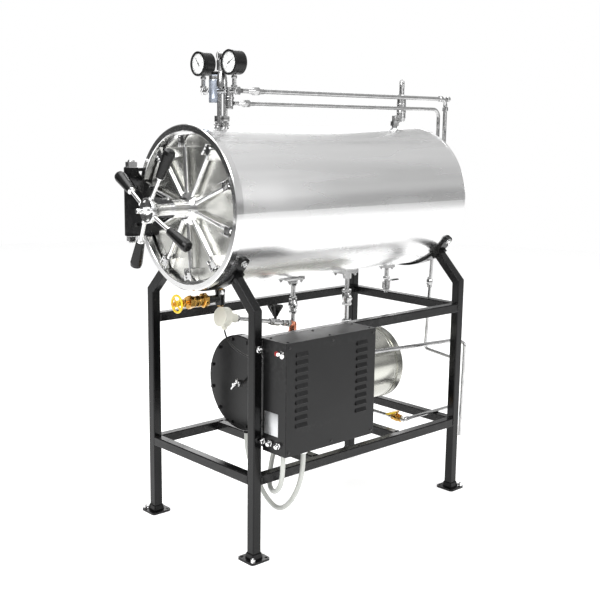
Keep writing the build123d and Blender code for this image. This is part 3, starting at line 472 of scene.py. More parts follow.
def piece(name, bm, mat, body="frame", angle=35, replaces=()):
    bmesh.ops.recalc_face_normals(bm, faces=bm.faces)
    mesh = bpy.data.meshes.new(name)
    bm.to_mesh(mesh)
    bm.free()
    mesh.shade_smooth()
    mesh.set_sharp_from_angle(angle=radians(angle))
    obj = bpy.data.objects.new(name, mesh)
    COLLECTION.objects.link(obj)
    mesh.materials.append(MATS[mat])
    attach(obj, body)
    if replaces:
        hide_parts(*replaces)
    return obj


def radial(angle, r, y):
    a = radians(angle)
    return Vector((sin(a) * r, y, VESSEL_Z + cos(a) * r))


# Stand
LEGS = [(x, y) for x in (-0.295, 0.295) for y in (-0.535, 0.535)]


def make_stand():
    bm = bmesh.new()
    for x, y in LEGS:
        sx, sy = (1 if x > 0 else -1), (1 if y > 0 else -1)
        bolt(bm, (x + sx * 0.030, y + sy * 0.030, 0.008), (0, 0, 1), 0.015, True, 0.006)
    piece("foot_bolts", bm, "chrome")

    bm = bmesh.new()
    h = 0.0175
    for x, y in LEGS:
        sx, sy = (1 if x > 0 else -1), (1 if y > 0 else -1)
        for z in (0.2875, 0.7665):
            for dz in (-h, h):
                weld(bm, (x - h * 0.7, y - sy * h, z + dz), (x + h * 0.7, y - sy * h, z + dz))
            for dx in (-h, h):
                weld(bm, (x + dx, y - sy * h, z - h * 0.7), (x + dx, y - sy * h, z + h * 0.7))
            if z < 0.5 or y > 0:
                for dz in (-h, h):
                    weld(bm, (x - sx * h, y - h * 0.7, z + dz), (x - sx * h, y + h * 0.7, z + dz))
        lean = [(x - h, y - h, 0.0245), (x + h, y - h, 0.0245), (x + h, y + h, 0.0245), (x - h, y + h, 0.0245)]
        for a, b in zip(lean, lean[1:] + lean[:1]):
            weld(bm, a, b, 0.0028)
        end_x, end_z = x - sx * 0.098, 0.970
        for dy in (-h, h):
            weld(bm, (end_x - sx * -0.010, y + dy, end_z + 0.010 - 0.022), (end_x + sx * 0.010 - sx * 0.022, y + dy, end_z + 0.010),
                 0.003)
    for y in (-0.230, 0.210):
        for sx in (-1, 1):
            weld(bm, (sx * 0.2775, y - h * 0.7, 0.305), (sx * 0.2775, y + h * 0.7, 0.305))
    piece("weld_beads", bm, "paint")

    bm = bmesh.new()
    for y in (-0.535, 0.535):
        for side in (-1, 1):
            a = radians(180 - side * 54)
            way = Vector((sin(a), 0, cos(a)))
            bolt(bm, Vector((0, y, VESSEL_Z)) + way * 0.2903, way, 0.018, True, 0.004)
    piece("saddle_bolts", bm, "chrome")


# Vessel and door
def make_door_detail():
    cheeks, screws, shade = bmesh.new(), bmesh.new(), bmesh.new()
    for angle in BAR_ANGLES:
        a = radians(angle)
        out, across = Vector((sin(a), 0, cos(a))), Vector((cos(a), 0, -sin(a)))
        for side in (-1, 1):
            mid = Vector((0, (DOOR_Y - 0.606) / 2, VESSEL_Z)) + out * 0.229 + across * side * 0.0165
            m = Matrix((
                (across.x, 0, out.x, mid.x), (0, 1, 0, mid.y), (across.z, 0, out.z, mid.z), (0, 0, 0, 1)))
            slab(cheeks, (-0.0022, -0.0163, -0.021), (0.0022, 0.0163, 0.021), 0.0008, m)
            for r in (0.2275, 0.2405):
                lathe(screws, [(0.0024, 0), (0.0024, 0.0014), (0.0016, 0.0020)],
                      Vector((0, -0.6021, VESSEL_Z)) + out * r + across * side * 0.0118, (0, -1, 0), 12)
        # A thin dark disc at each bar guide: painted shade where the locking bar enters the guide.
        lathe(shade, [(0.0125, 0), (0.0125, 0.0012), (0.0088, 0.0018)], radial(angle, 0.2221, BAR_Y), -out, 24)
    piece("guide_cheeks", cheeks, "chrome", "door")
    piece("guide_screws", screws, "dark", "door")
    piece("guide_shade_discs", shade, "dark", "door")

    bm = bmesh.new()
    lathe(bm, [(0.0210, 0), (0.0250, 0.0015), (0.0250, 0.009), (0.0210, 0.0105)], (0, -0.7335, VESSEL_Z), (0, 1, 0), 40)
    lathe(bm, [(0.0210, 0), (0.0275, 0.002), (0.0275, 0.010), (0.0210, 0.012)], (0, -0.6225, VESSEL_Z), (0, 1, 0), 40)
    for k in range(6):
        a = radians(60 * k + 30)
        bolt(bm, (0.0335 * sin(a) * 0.72, -0.6098, VESSEL_Z + 0.0335 * cos(a) * 0.72), (0, -1, 0), 0.006, False)
    lathe(bm, [(0.0030, 0), (0.0030, 0.004), (0.0016, 0.006), (0.0022, 0.009)], (0, -0.672, VESSEL_Z + 0.0305), (0, 0, 1), 12)
    piece("sleeve_collars", bm, "chrome", "door")

    bm = bmesh.new()
    for sx in (-1, 1):
        hexagon(bm, (-0.276, -0.637, 1.3473 if sx > 0 else 1.0637), (0, 0, sx), 0.024, 0.003)
    lathe(bm, [(0.0125, 0), (0.0122, 0.004), (0.0095, 0.008), (0.004, 0.0102), (0, 0.0106)], (-0.276, -0.637, 1.3473), (0, 0, 1), 32)
    for z, way in ((1.3273, 1), (1.0837, -1)):
        lathe(bm, [(0.0235, 0), (0.0245, 0.0006), (0.0245, 0.0022), (0.0235, 0.0028)], (-0.276, -0.637, z), (0, 0, way), 36)
    piece("hinge_caps", bm, "chrome")

    bm = bmesh.new()
    for z in (1.0955 + 0.0065, 1.3155 - 0.0065):
        weld(bm, (-0.2495, -0.6045, z), (-0.2390, -0.6045, z), 0.002)
    for x, z in ((-0.20, VESSEL_Z + 0.062), (-0.20, VESSEL_Z - 0.070), (-0.13, VESSEL_Z + 0.0)):
        bolt(bm, (x, -0.6641, z), (0, -1, 0), 0.013, True, 0.0)
    piece("arm_bolts", bm, "dark", "door")

    bm = bmesh.new()
    lathe(bm, [(0.0, -0.0385), (0.0078, -0.0385), (0.0086, -0.036), (0.0086, -0.028), (0.0078, -0.0262)],
          (0, -0.762, VESSEL_Z), (0, 1, 0), 28)
    hexagon(bm, (0, -0.768, VESSEL_Z), (0, -1, 0), 0.022, 0.007)
    for angle in HANDLE_ANGLES:
        a = radians(angle)
        out = Vector((sin(a), 0, cos(a)))
        hexagon(bm, Vector((0, -0.755, VESSEL_Z)) + out * 0.0405, out, 0.017, 0.008)
        way = (radial(angle, 0.228, -0.755 + 0.019) - radial(angle, 0.125, -0.755 + 0.0088)).normalized()
        lathe(bm, [(0.0066, -0.006), (0.0095, -0.005), (0.0135, -0.001), (0.0135, 0.0015)],
              radial(angle, 0.1245, -0.755 + 0.0088), way, 28)
    for k in range(4):
        a = radians(73 + 90 * k)
        lathe(bm, [(0.0042, 0), (0.0042, 0.0026), (0.003, 0.0034)],
              (0.032 * sin(a), -0.7621, VESSEL_Z + 0.032 * cos(a)), (0, -1, 0), 16)
    piece("wheel_fittings", bm, "chrome", "hand_wheel")

    bm = bmesh.new()
    for y, r in ((0.5805, 0.2745),):
        tube(bm, circle((0, y + 0.001, VESSEL_Z), (0, 1, 0), r, 120), 0.0018, 8, True)
    for y in (-0.5762, 0.565):
        loops = []
        for dy, r in ((-0.0016, CLAD_R + 0.0001), (-0.0010, CLAD_R + 0.0007), (0.0010, CLAD_R + 0.0007), (0.0016, CLAD_R + 0.0001)):
            loops.append(circle((0, y + dy, VESSEL_Z), (0, 1, 0), r, 120))
        rings(bm, loops, cap=False)
    piece("cladding_seams", bm, "clad")

    bm = bmesh.new()
    for k in range(16):
        a = radians(22.5 * k + 11)
        p = Vector((sin(a) * 0.268, 0.5816, VESSEL_Z + cos(a) * 0.268))
        lathe(bm, [(0.0045, 0), (0.0043, 0.0014), (0.0028, 0.0026), (0.0005, 0.0030)], p, (0, 1, 0), 16)
    piece("cladding_rivets", bm, "chrome")


# Gauges
NEEDLES = {-1: -38, 1: 60}


def make_gauges():
    dials, ink, bezels, glasses, nuts = (bmesh.new() for _ in range(5))
    front = TOP_Y - 0.024
    for side in (-1, 1):
        c = Vector((side * DIAL_X, front, DIAL_Z))
        lathe(dials, [(0.0365, 0.0), (0.0365, 0.0006)], c + Vector((0, 0.0029, 0)), (0, -1, 0), 64)
        lathe(bezels, [(0.0345, -0.0030), (0.0345, 0.0006), (0.0360, 0.0022), (0.0400, 0.0026), (0.0425, 0.0012),
                       (0.0428, -0.006), (0.0415, -0.0085)], c, (0, -1, 0), 72)
        loops = [circle(c + Vector((0, -h, 0)), (0, -1, 0), r, 56) for r, h in
                 ((0.0352, 0.0006), (0.030, 0.0013), (0.020, 0.0020), (0.008, 0.0024), (0.0005, 0.0025))]
        rings(glasses, loops, cap=False)

        def on_dial(angle, r, lift=0.0):
            a = radians(angle)
            return c + Vector((sin(a) * r, 0.0021 - lift, cos(a) * r))

        for k in range(41):
            angle = -135 + 270 * k / 40
            major = k % 8 == 0
            a, b = on_dial(angle, 0.0315), on_dial(angle, 0.0265 if major else 0.0292)
            wide = 0.00055 if major else 0.00028
            cross = Vector((cos(radians(angle)), 0, -sin(radians(angle)))) * wide
            thin = Vector((0, -0.00025, 0))
            rings(ink, [[a - cross, a + cross, a + cross + thin, a - cross + thin],
                        [b - cross, b + cross, b + cross + thin, b - cross + thin]])
        angle = NEEDLES[side]
        way = Vector((sin(radians(angle)), 0, cos(radians(angle))))
        cross = Vector((way.z, 0, -way.x))
        base = c + Vector((0, 0.0012, 0))
        thin = Vector((0, -0.0006, 0))
        loops = []
        for r, wide in ((-0.011, 0.0021), (-0.003, 0.0014), (0.018, 0.0012), (0.0265, 0.0003)):
            p = base + way * r
            x = cross * wide
            loops.append([p - x, p + x, p + x + thin, p - x + thin])
        rings(ink, loops)
        lathe(ink, [(0.0034, 0), (0.0034, 0.0012), (0.002, 0.0018)], base, (0, -1, 0), 20)
        low = PIPE_Z + 0.0105
        hexagon(nuts, (side * DIAL_X, TOP_Y, low), (0, 0, 1), 0.019, 0.009)
        hexagon(nuts, (side * DIAL_X, TOP_Y, DIAL_Z - 0.053), (0, 0, 1), 0.017, 0.010)
    piece("gauge_dials", dials, "dial")
    piece("gauge_marks", ink, "mark")
    piece("gauge_bezels", bezels, "grip")
    piece("gauge_glasses", glasses, "glass")
    piece("gauge_nuts", nuts, "steel")
    for side in (-1, 1):
        for k in range(6):
            angle = radians(-135 + 54 * k)
            data = bpy.data.curves.new("figure", "FONT")
            data.body = str(k)
            data.size = 0.0062
            data.align_x = "CENTER"
            data.align_y = "CENTER"
            data.extrude = 0.0001
            made = bpy.data.objects.new("figure", data)
            COLLECTION.objects.link(made)
            bpy.context.view_layer.update()
            mesh = bpy.data.meshes.new_from_object(made)
            bpy.data.objects.remove(made)
            where = Vector((side * DIAL_X + 0.0215 * sin(angle), front + 0.0019, DIAL_Z + 0.0215 * cos(angle)))
            mesh.transform(Matrix.Translation(where) @ Matrix.Rotation(pi / 2, 4, "X"))
            mesh.materials.clear()
            mesh.materials.append(MATS["mark"])
            obj = bpy.data.objects.new(f"dial_figure_{'left' if side < 0 else 'right'}_{k}", mesh)
            COLLECTION.objects.link(obj)
            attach(obj, "frame")


# Pipework on top
def union(bm, at, along, r, across=0.0, long=0.07):
    """Tapered union with a hexagon in the middle."""
    across = across or r * 3.2
    h = long / 2
    m = axes(at, along)
    lathe(bm, [(r * 1.05, -h), (r * 1.18, -h + 0.003), (r * 1.22, -h * 0.55), (r * 1.55, -h * 0.36), (r * 1.55, h * 0.36),
               (r * 1.22, h * 0.55), (r * 1.18, h - 0.003), (r * 1.05, h)], at, along, 28)
    hexagon(bm, m @ Vector((0, 0, -h * 0.30)), along, across, h * 0.6)


def make_top_pipes():
    bm = bmesh.new()
    union(bm, (0.115, -0.386, PIPE_Z), (0, 1, 0), 0.008, 0.026, 0.072)
    union(bm, (0.066, -0.388, TOP_Z + 0.077), (0, 1, 0), 0.007, 0.024, 0.072)
    for x in (0.045, 0.099):
        hexagon(bm, (x, TOP_Y, PIPE_Z), (1, 0, 0), 0.027, 0.011)
    for x in (-0.044, -0.078):
        hexagon(bm, (x, TOP_Y, PIPE_Z), (-1, 0, 0), 0.025, 0.009)
    for at, along in (((0.115, 0.600, PIPE_Z), (0, 1, 0)), ((0.115, 0.632, PIPE_Z - 0.040), (0, 0, 1))):
        lathe(bm, [(0.0085, -0.009), (0.0118, -0.007), (0.0118, 0.007), (0.0085, 0.009)], at, along, 28)
    lathe(bm, [(0.0085, 0), (0.011, 0.002), (0.011, 0.012), (0.006, 0.016)], (0.115, 0.640, PIPE_Z), (0, 1, 0), 24)
    for x, z in ((0.115, VESSEL_Z + 0.201), (0.066, VESSEL_Z + 0.141)):
        lathe(bm, [(0.0190, 0), (0.0190, 0.003), (0.0125, 0.005), (0.0125, 0.011), (0.0085, 0.012)], (x, 0.5822, z), (0, 1, 0), 32)
    lathe(bm, [(0.0190, 0), (0.0190, 0.003), (0.0115, 0.005), (0.0115, 0.010), (0.0075, 0.011)],
          (0.090, 0.5822, VESSEL_Z - 0.214), (0, 1, 0), 32)
    for z in (0.790, 0.820):
        lathe(bm, [(0.0073, -0.009), (0.0105, -0.007), (0.0105, 0.007), (0.0073, 0.009)], (0.0795, 0.616, z + 0.03), (0, 0, 1), 24)
    hexagon(bm, (0.0795, 0.616, 0.823), (0, 0, 1), 0.024, 0.024)
    piece("pipe_unions", bm, "steel")

    bm = bmesh.new()
    low, high = PIPE_Z - 0.0395, PIPE_Z + 0.0535
    lathe(bm, [(0.0130, 0), (0.0215, 0.002), (0.0215, 0.010), (0.0219, 0.012), (0.0219, 0.016), (0.0213, 0.018),
               (0.0213, 0.070), (0.0219, 0.072), (0.0219, 0.077), (0.0210, 0.079), (0.0200, 0.090), (0.0150, 0.0945)],
          (-0.019, TOP_Y, low), (0, 0, 1), 48)
    for k in range(4):
        a = radians(45 + 90 * k)
        bolt(bm, (-0.019 + 0.0150 * cos(a), TOP_Y + 0.0150 * sin(a), high - 0.002), (0, 0, 1), 0.006, False)
    piece("relief_body", bm, "silver")

    bm = bmesh.new()
    lathe(bm, [(0.0100, 0), (0.0100, 0.004), (0.0125, 0.006), (0.0125, 0.012), (0.0095, 0.015)],
          (-0.019, TOP_Y, high - 0.001), (0, 0, 1), 28)
    lathe(bm, [(0.0155, 0), (0.0155, 0.005), (0.0125, 0.008)], (0.019, TOP_Y, DIAL_Z + 0.008), (0, 0, 1), 28)
    tube(bm, bent([(0.019, TOP_Y - 0.012, DIAL_Z + 0.016), (0.040, TOP_Y - 0.012, DIAL_Z + 0.019),
                   (0.052, TOP_Y - 0.012, DIAL_Z + 0.004)], 0.008), 0.0028, 10)
    tube(bm, bent([(0.019, TOP_Y - 0.012, DIAL_Z + 0.014), (0.006, TOP_Y - 0.012, DIAL_Z + 0.004),
                   (0.026, TOP_Y - 0.012, DIAL_Z - 0.016)], 0.006), 0.0026, 10)
    piece("safety_lever", bm, "grip")

    bm = bmesh.new()
    lathe(bm, [(0.0100, 0), (0.0190, 0.004), (0.0195, 0.018), (0.0170, 0.040), (0.0120, 0.058), (0.0090, 0.064)],
          (0.019, TOP_Y, PIPE_Z + 0.010), (0, 0, 1), 36)
    ring = [(0.019, TOP_Y, DIAL_Z + 0.014), (0.0105, TOP_Y, DIAL_Z + 0.020), (0.0105, TOP_Y, DIAL_Z + 0.036),
            (0.019, TOP_Y, DIAL_Z + 0.0415), (0.0275, TOP_Y, DIAL_Z + 0.036), (0.0275, TOP_Y, DIAL_Z + 0.020),
            (0.019, TOP_Y, DIAL_Z + 0.014)]
    tube(bm, bent([(p[0], p[1] - 0.0165, p[2] - 0.004) for p in ring], 0.005), 0.0017, 8)
    hexagon(bm, (0.062, TOP_Y, PIPE_Z - 0.0515), (0, 0, -1), 0.020, 0.010)
    lathe(bm, [(0.0132, 0), (0.0150, 0.002), (0.0150, 0.010), (0.0132, 0.012)], (0.062, TOP_Y, PIPE_Z - 0.030), (0, 0, 1), 30)
    for x, r in ((0.005, 0.016), (0.038, 0.0135)):
        lathe(bm, [(r + 0.004, 0), (r + 0.004, 0.003), (r, 0.005)], (x, TOP_Y, TOP_Z + 0.0015), (0, 0, 1), 30)
    hexagon(bm, (0.038, TOP_Y, TOP_Z + 0.015), (0, 0, 1), 0.025, 0.018)
    piece("manifold_fittings", bm, "steel")

    bm = bmesh.new()
    y = 0.491
    lathe(bm, [(0.0182, 0), (0.0192, 0.002), (0.0192, 0.008), (0.0182, 0.010)], (0, y, TOP_Z + 0.060), (0, 0, 1), 36)
    lathe(bm, [(0.0182, 0), (0.0192, 0.002), (0.0192, 0.006), (0.0182, 0.008)], (0, y, TOP_Z + 0.092), (0, 0, 1), 36)
    hexagon(bm, (0, y, TOP_Z + 0.122), (0, 0, 1), 0.026, 0.012)
    tube(bm, bent([(-0.0118, y, TOP_Z + 0.138), (-0.0118, y, TOP_Z + 0.192), (0.0118, y, TOP_Z + 0.192),
                   (0.0118, y, TOP_Z + 0.138)], 0.0116), 0.0016, 8)
    hexagon(bm, (0, 0.465, TOP_Z + 0.036), (0, 1, 0), 0.030, 0.010)
    piece("rear_valve_fittings", bm, "steel")


# Feed line at the front of the boiler, with the switch line and its star-handled valve
SWITCH = Vector((0, -0.433, 0.799))
TAP = Vector((0, -0.097, 0.732))
LINE = (TAP - SWITCH).normalized()


def feed_line(bm, y, copper):
    """Plate, union, ball valve and pipe from the vessel down to the boiler."""
    top = LOW_Z - 0.014
    slab(bm, (-0.034, y - 0.052, top), (0.034, y + 0.030, LOW_Z - 0.0008), 0.0015)
    for dx in (-0.024, 0.024):
        for dy in (-0.042, 0.020):
            bolt(bm, (dx, y + dy, top), (0, 0, -1), 0.011, True, 0.004)
    tube(bm, [(0, y, 0.661 + 0.0005), (0, y, top + 0.001)], 0.009, 20)
    hexagon(bm, (0, y, top - 0.024), (0, 0, 1), 0.030, 0.024)
    lathe(bm, [(0.0095, 0), (0.0135, 0.002), (0.0135, 0.010), (0.0170, 0.015), (0.0185, 0.027), (0.0170, 0.039),
               (0.0135, 0.044), (0.0135, 0.052), (0.0095, 0.054)], (0, y, 0.778), (0, 0, 1), 32)
    hexagon(bm, (0, y, 0.772), (0, 0, 1), 0.027, 0.012)
    hexagon(bm, (0, y, 0.826), (0, 0, 1), 0.027, 0.012)
    lathe(bm, [(0.006, 0), (0.006, 0.020), (0.009, 0.022), (0.009, 0.028), (0.004, 0.030)], (0, y, 0.805), (1, -0.4, 0), 20)
    if not copper:
        lathe(bm, [(0.0095, 0), (0.0140, 0.002), (0.0140, 0.050), (0.0095, 0.053)], (0, y, 0.6615), (0, 0, 1), 28)


def make_feed_lines():
    bm = bmesh.new()
    feed_line(bm, -0.097, True)
    tube(bm, [SWITCH + LINE * 0.0545, TAP], 0.008, 18)
    for at in (0.056, 0.150, 0.222, 0.288):
        hexagon(bm, SWITCH + LINE * at, LINE, 0.024, 0.012)
    hexagon(bm, TAP - LINE * 0.030, LINE, 0.026, 0.014)
    lathe(bm, [(0.0095, -0.020), (0.0145, -0.016), (0.0145, 0.016), (0.0095, 0.020)], SWITCH + LINE * 0.252, LINE, 28)
    piece("feed_line_front", bm, "steel", replaces=["feed_pipe_front"])

    bm = bmesh.new()
    lathe(bm, [(0.0098, 0), (0.0150, 0.002), (0.0150, 0.024), (0.0165, 0.026), (0.0165, 0.044), (0.0150, 0.046),
               (0.0150, 0.070), (0.0125, 0.078), (0.0098, 0.080)], (0, -0.097, 0.6615), (0, 0, 1), 32)
    hexagon(bm, (0, -0.097, 0.690), (0, 0, 1), 0.036, 0.012)
    lathe(bm, [(0.0095, 0), (0.0130, 0.002), (0.0130, 0.018), (0.0095, 0.020)], (0, -0.117, 0.736), (0, 1, -0.2), 24)
    piece("feed_tee_copper", bm, "copper")

    foot = SWITCH + LINE * 0.252
    bm = bmesh.new()
    lathe(bm, [(0.0050, 0), (0.0050, 0.020), (0.0085, 0.022), (0.0110, 0.030), (0.0190, 0.044), (0.0250, 0.056),
               (0.0262, 0.062), (0.0215, 0.065), (0.0150, 0.060), (0.0060, 0.058)], foot, (0, 0, 1), 60, 5, 0.22)
    piece("star_handle", bm, "grip")

    bm = bmesh.new()
    y = 0.196
    for z in (0.772, 0.826):
        hexagon(bm, (0, y, z), (0, 0, 1), 0.036, 0.010)
    lathe(bm, [(0.0172, 0), (0.0195, 0.010), (0.0195, 0.026), (0.0172, 0.036)], (0, y, 0.787), (0, 0, 1), 32)
    lathe(bm, [(0.006, 0.012), (0.006, 0.024), (0.010, 0.026), (0.010, 0.033), (0.004, 0.035)], (0, y, 0.805), (1, -0.4, 0), 20)
    hexagon(bm, (0, y, 0.700), (0, 0, 1), 0.036, 0.014)
    for dx in (-0.024, 0.024):
        for dy in (-0.042, 0.020):
            bolt(bm, (dx, y + dy, LOW_Z - 0.014), (0, 0, -1), 0.011, True, 0.004)
    y = 0.430
    for dx in (-0.016, 0.016):
        for dy in (-0.016, 0.016):
            bolt(bm, (dx, y + dy, LOW_Z - 0.014), (0, 0, -1), 0.008, True, 0.003)
    hexagon(bm, (0, y, 0.856), (0, 0, 1), 0.026, 0.012)
    hexagon(bm, (0, y, 0.806), (0, 0, 1), 0.026, 0.010)
    lathe(bm, [(0.0060, 0), (0.0092, 0.002), (0.0092, 0.010), (0.0045, 0.013)], (0, y, 0.846), (0, 0, 1), 20)
    piece("feed_fittings", bm, "steel")

    bm = bmesh.new()
    slab(bm, (-0.0075, 0.4585, 0.8455), (0.0075, 0.5015, 0.8515), 0.0024)
    piece("bleed_lever_grip", bm, "grip")


# Pressure switch
def make_switch():
    z = LINE
    bm = bmesh.new()
    lathe(bm, [(0.0300, 0), (0.0345, -0.0016), (0.0362, -0.004), (0.0364, -0.009), (0.0352, -0.0105)],
          SWITCH - LINE * 0.0095, z, 56)
    lathe(bm, [(0.0364, 0), (0.0370, 0.0015), (0.0370, 0.0045), (0.0364, 0.006)], SWITCH + LINE * 0.006, z, 56)
    hexagon(bm, SWITCH + LINE * 0.0135, z, 0.044, 0.014)
    lathe(bm, [(0.0075, 0), (0.0105, 0.002), (0.0105, 0.010), (0.0062, 0.013)], SWITCH + Vector((0, 0, -0.034)),
          (0.1, 0, -1), 24)
    piece("switch_cap", bm, "white")
    bm = bmesh.new()
    side = Vector((1, 0, 0))
    up = LINE.cross(side)
    for k in range(3):
        a = radians(90 + 120 * k)
        at = SWITCH - LINE * 0.0112 + (side * cos(a) + up * sin(a)) * 0.028
        lathe(bm, [(0.0026, 0), (0.0026, 0.0011), (0.0018, 0.0016)], at, -LINE, 14)
    lathe(bm, [(0.0100, 0), (0.0100, 0.004), (0.0128, 0.006), (0.0128, 0.016), (0.0090, 0.018)], SWITCH + LINE * 0.038, z, 28)
    piece("switch_screws", bm, "chrome")


# Drain valve
def make_drain_valve():
    zd = LOW_Z - 0.049
    bm = bmesh.new()
    tube(bm, circle((0, -0.640, zd), (0, 1, 0), 0.0292, 56), 0.0042, 12, True)
    for k in range(4):
        a = radians(45 + 90 * k)
        w = Vector((cos(a), 0, sin(a)))
        tube(bm, [Vector((0, -0.6405, zd)) + w * r for r in (0.008, 0.012, 0.020, 0.0285)], [0.0046, 0.0036, 0.0032, 0.0040], 10)
    lathe(bm, [(0.0120, -0.006), (0.0120, 0.004), (0.0095, 0.006)], (0, -0.640, zd), (0, 1, 0), 32)
    piece("drain_hand_wheel", bm, "yellow", "drain_wheel", replaces=["drain_valve_wheel"])
    bm = bmesh.new()
    hexagon(bm, (0, -0.6465, zd), (0, -1, 0), 0.013, 0.006)
    lathe(bm, [(0.0042, 0), (0.0042, 0.008), (0.003, 0.009)], (0, -0.6525, zd), (0, -1, 0), 16)
    piece("drain_wheel_nut", bm, "brass", "drain_wheel")
    bm = bmesh.new()
    lathe(bm, [(0.0065, 0), (0.0090, 0.002), (0.0090, 0.009), (0.0065, 0.011)], (0, -0.630, zd), (0, 1, 0), 24)
    hexagon(bm, (0, -0.618, zd), (0, 1, 0), 0.026, 0.012)
    lathe(bm, [(0.0192, 0), (0.0202, 0.002), (0.0202, 0.006), (0.0192, 0.008)], (0, -0.575, zd), (0, 1, 0), 36)
    lathe(bm, [(0.0192, 0), (0.0204, 0.003), (0.0204, 0.007), (0.0192, 0.010)], (0, -0.556, zd), (0, 1, 0), 36)
    hexagon(bm, (0, -0.533, zd), (0, 1, 0), 0.047, 0.016)
    piece("drain_bonnet", bm, "brass")
    bm = bmesh.new()
    lathe(bm, [(0.0135, 0), (0.0165, 0.002), (0.0140, 0.030), (0.0140, 0.060)], (0, -0.517, zd), (0, 1, 0), 32)
    lathe(bm, [(0.0115, 0), (0.0170, 0.002), (0.0170, 0.046), (0.0185, 0.049), (0.0185, 0.058), (0.0120, 0.060)],
          (0, -0.451, zd - 0.026), (0, 0, 1), 32)
    piece("drain_elbow", bm, "dark")
    bm = bmesh.new()
    bolt(bm, (0.0170, -0.456, zd + 0.022), (1, -0.3, 0), 0.012, True, 0.0)
    piece("drain_plug", bm, "chrome")
    bm = bmesh.new()
    mid = Vector((0.167, 0.334, 0.3123))
    lathe(bm, [(0.0135, -0.012), (0.0155, -0.008), (0.0160, 0.0), (0.0155, 0.008), (0.0135, 0.012)], mid, (1, 0, 0), 32)
    hexagon(bm, mid + Vector((0, 0, 0.018)), (0, 0, 1), 0.012, 0.006)
    piece("blowdown_body", bm, "brass")
    bm = bmesh.new()
    slab(bm, (0.1595, 0.270, 0.3345), (0.1745, 0.322, 0.3405), 0.0026)
    piece("blowdown_grip", bm, "yellow")
    bm = bmesh.new()
    for at, along in (((0.130, 0.334, 0.3123), (1, 0, 0)), ((0.206, 0.352, 0.3123), (0, 1, 0)), ((0.199, 0.334, 0.3123), (1, 0, 0))):
        lathe(bm, [(0.0073, -0.008), (0.0100, -0.006), (0.0100, 0.006), (0.0073, 0.008)], at, along, 24)
    lathe(bm, [(0.0085, -0.012), (0.0118, -0.009), (0.0118, 0.009), (0.0085, 0.012)], (0.1805, 0.098, 0.6168), (0.03, 1, -0.036), 24)
    piece("boiler_pipe_collars", bm, "steel")


# Boiler and control box
def make_boiler():
    bm = bmesh.new()
    for y in (-0.290, 0.060, 0.340):
        loops = [circle((0, y + dy, 0.514), (0, 1, 0), r, 96) for dy, r in
                 ((-0.006, 0.1471), (-0.005, 0.1482), (0.005, 0.1482), (0.006, 0.1471))]
        rings(bm, loops, cap=False)
    piece("boiler_bands", bm, "boiler")
    bm = bmesh.new()
    for k in range(12):
        a = radians(30 * k + 15)
        at = Vector((0.165 * sin(a), -0.360, 0.540 + 0.165 * cos(a)))
        bolt(bm, at, (0, -1, 0), 0.011, True, 0.0)
    piece("cover_bolts", bm, "paint")
    bm = bmesh.new()
    hexagon(bm, (0, -0.360, 0.540), (0, -1, 0), 0.022, 0.010)
    tube(bm, [(0, -0.369, 0.540), (0, -0.392, 0.540)], 0.005, 14)
    for side in (-1, 1):
        tube(bm, [(side * 0.004, -0.381, 0.540 + side * 0.003), (side * 0.012, -0.383, 0.540 + side * 0.012),
                  (side * 0.017, -0.386, 0.540 + side * 0.021)], [0.004, 0.0052, 0.0044], 12)
    lathe(bm, [(0.0075, 0), (0.0075, 0.012), (0.005, 0.014)], (0, -0.374, 0.540), (0, -1, 0), 20)
    piece("cover_wing_nut", bm, "chrome")


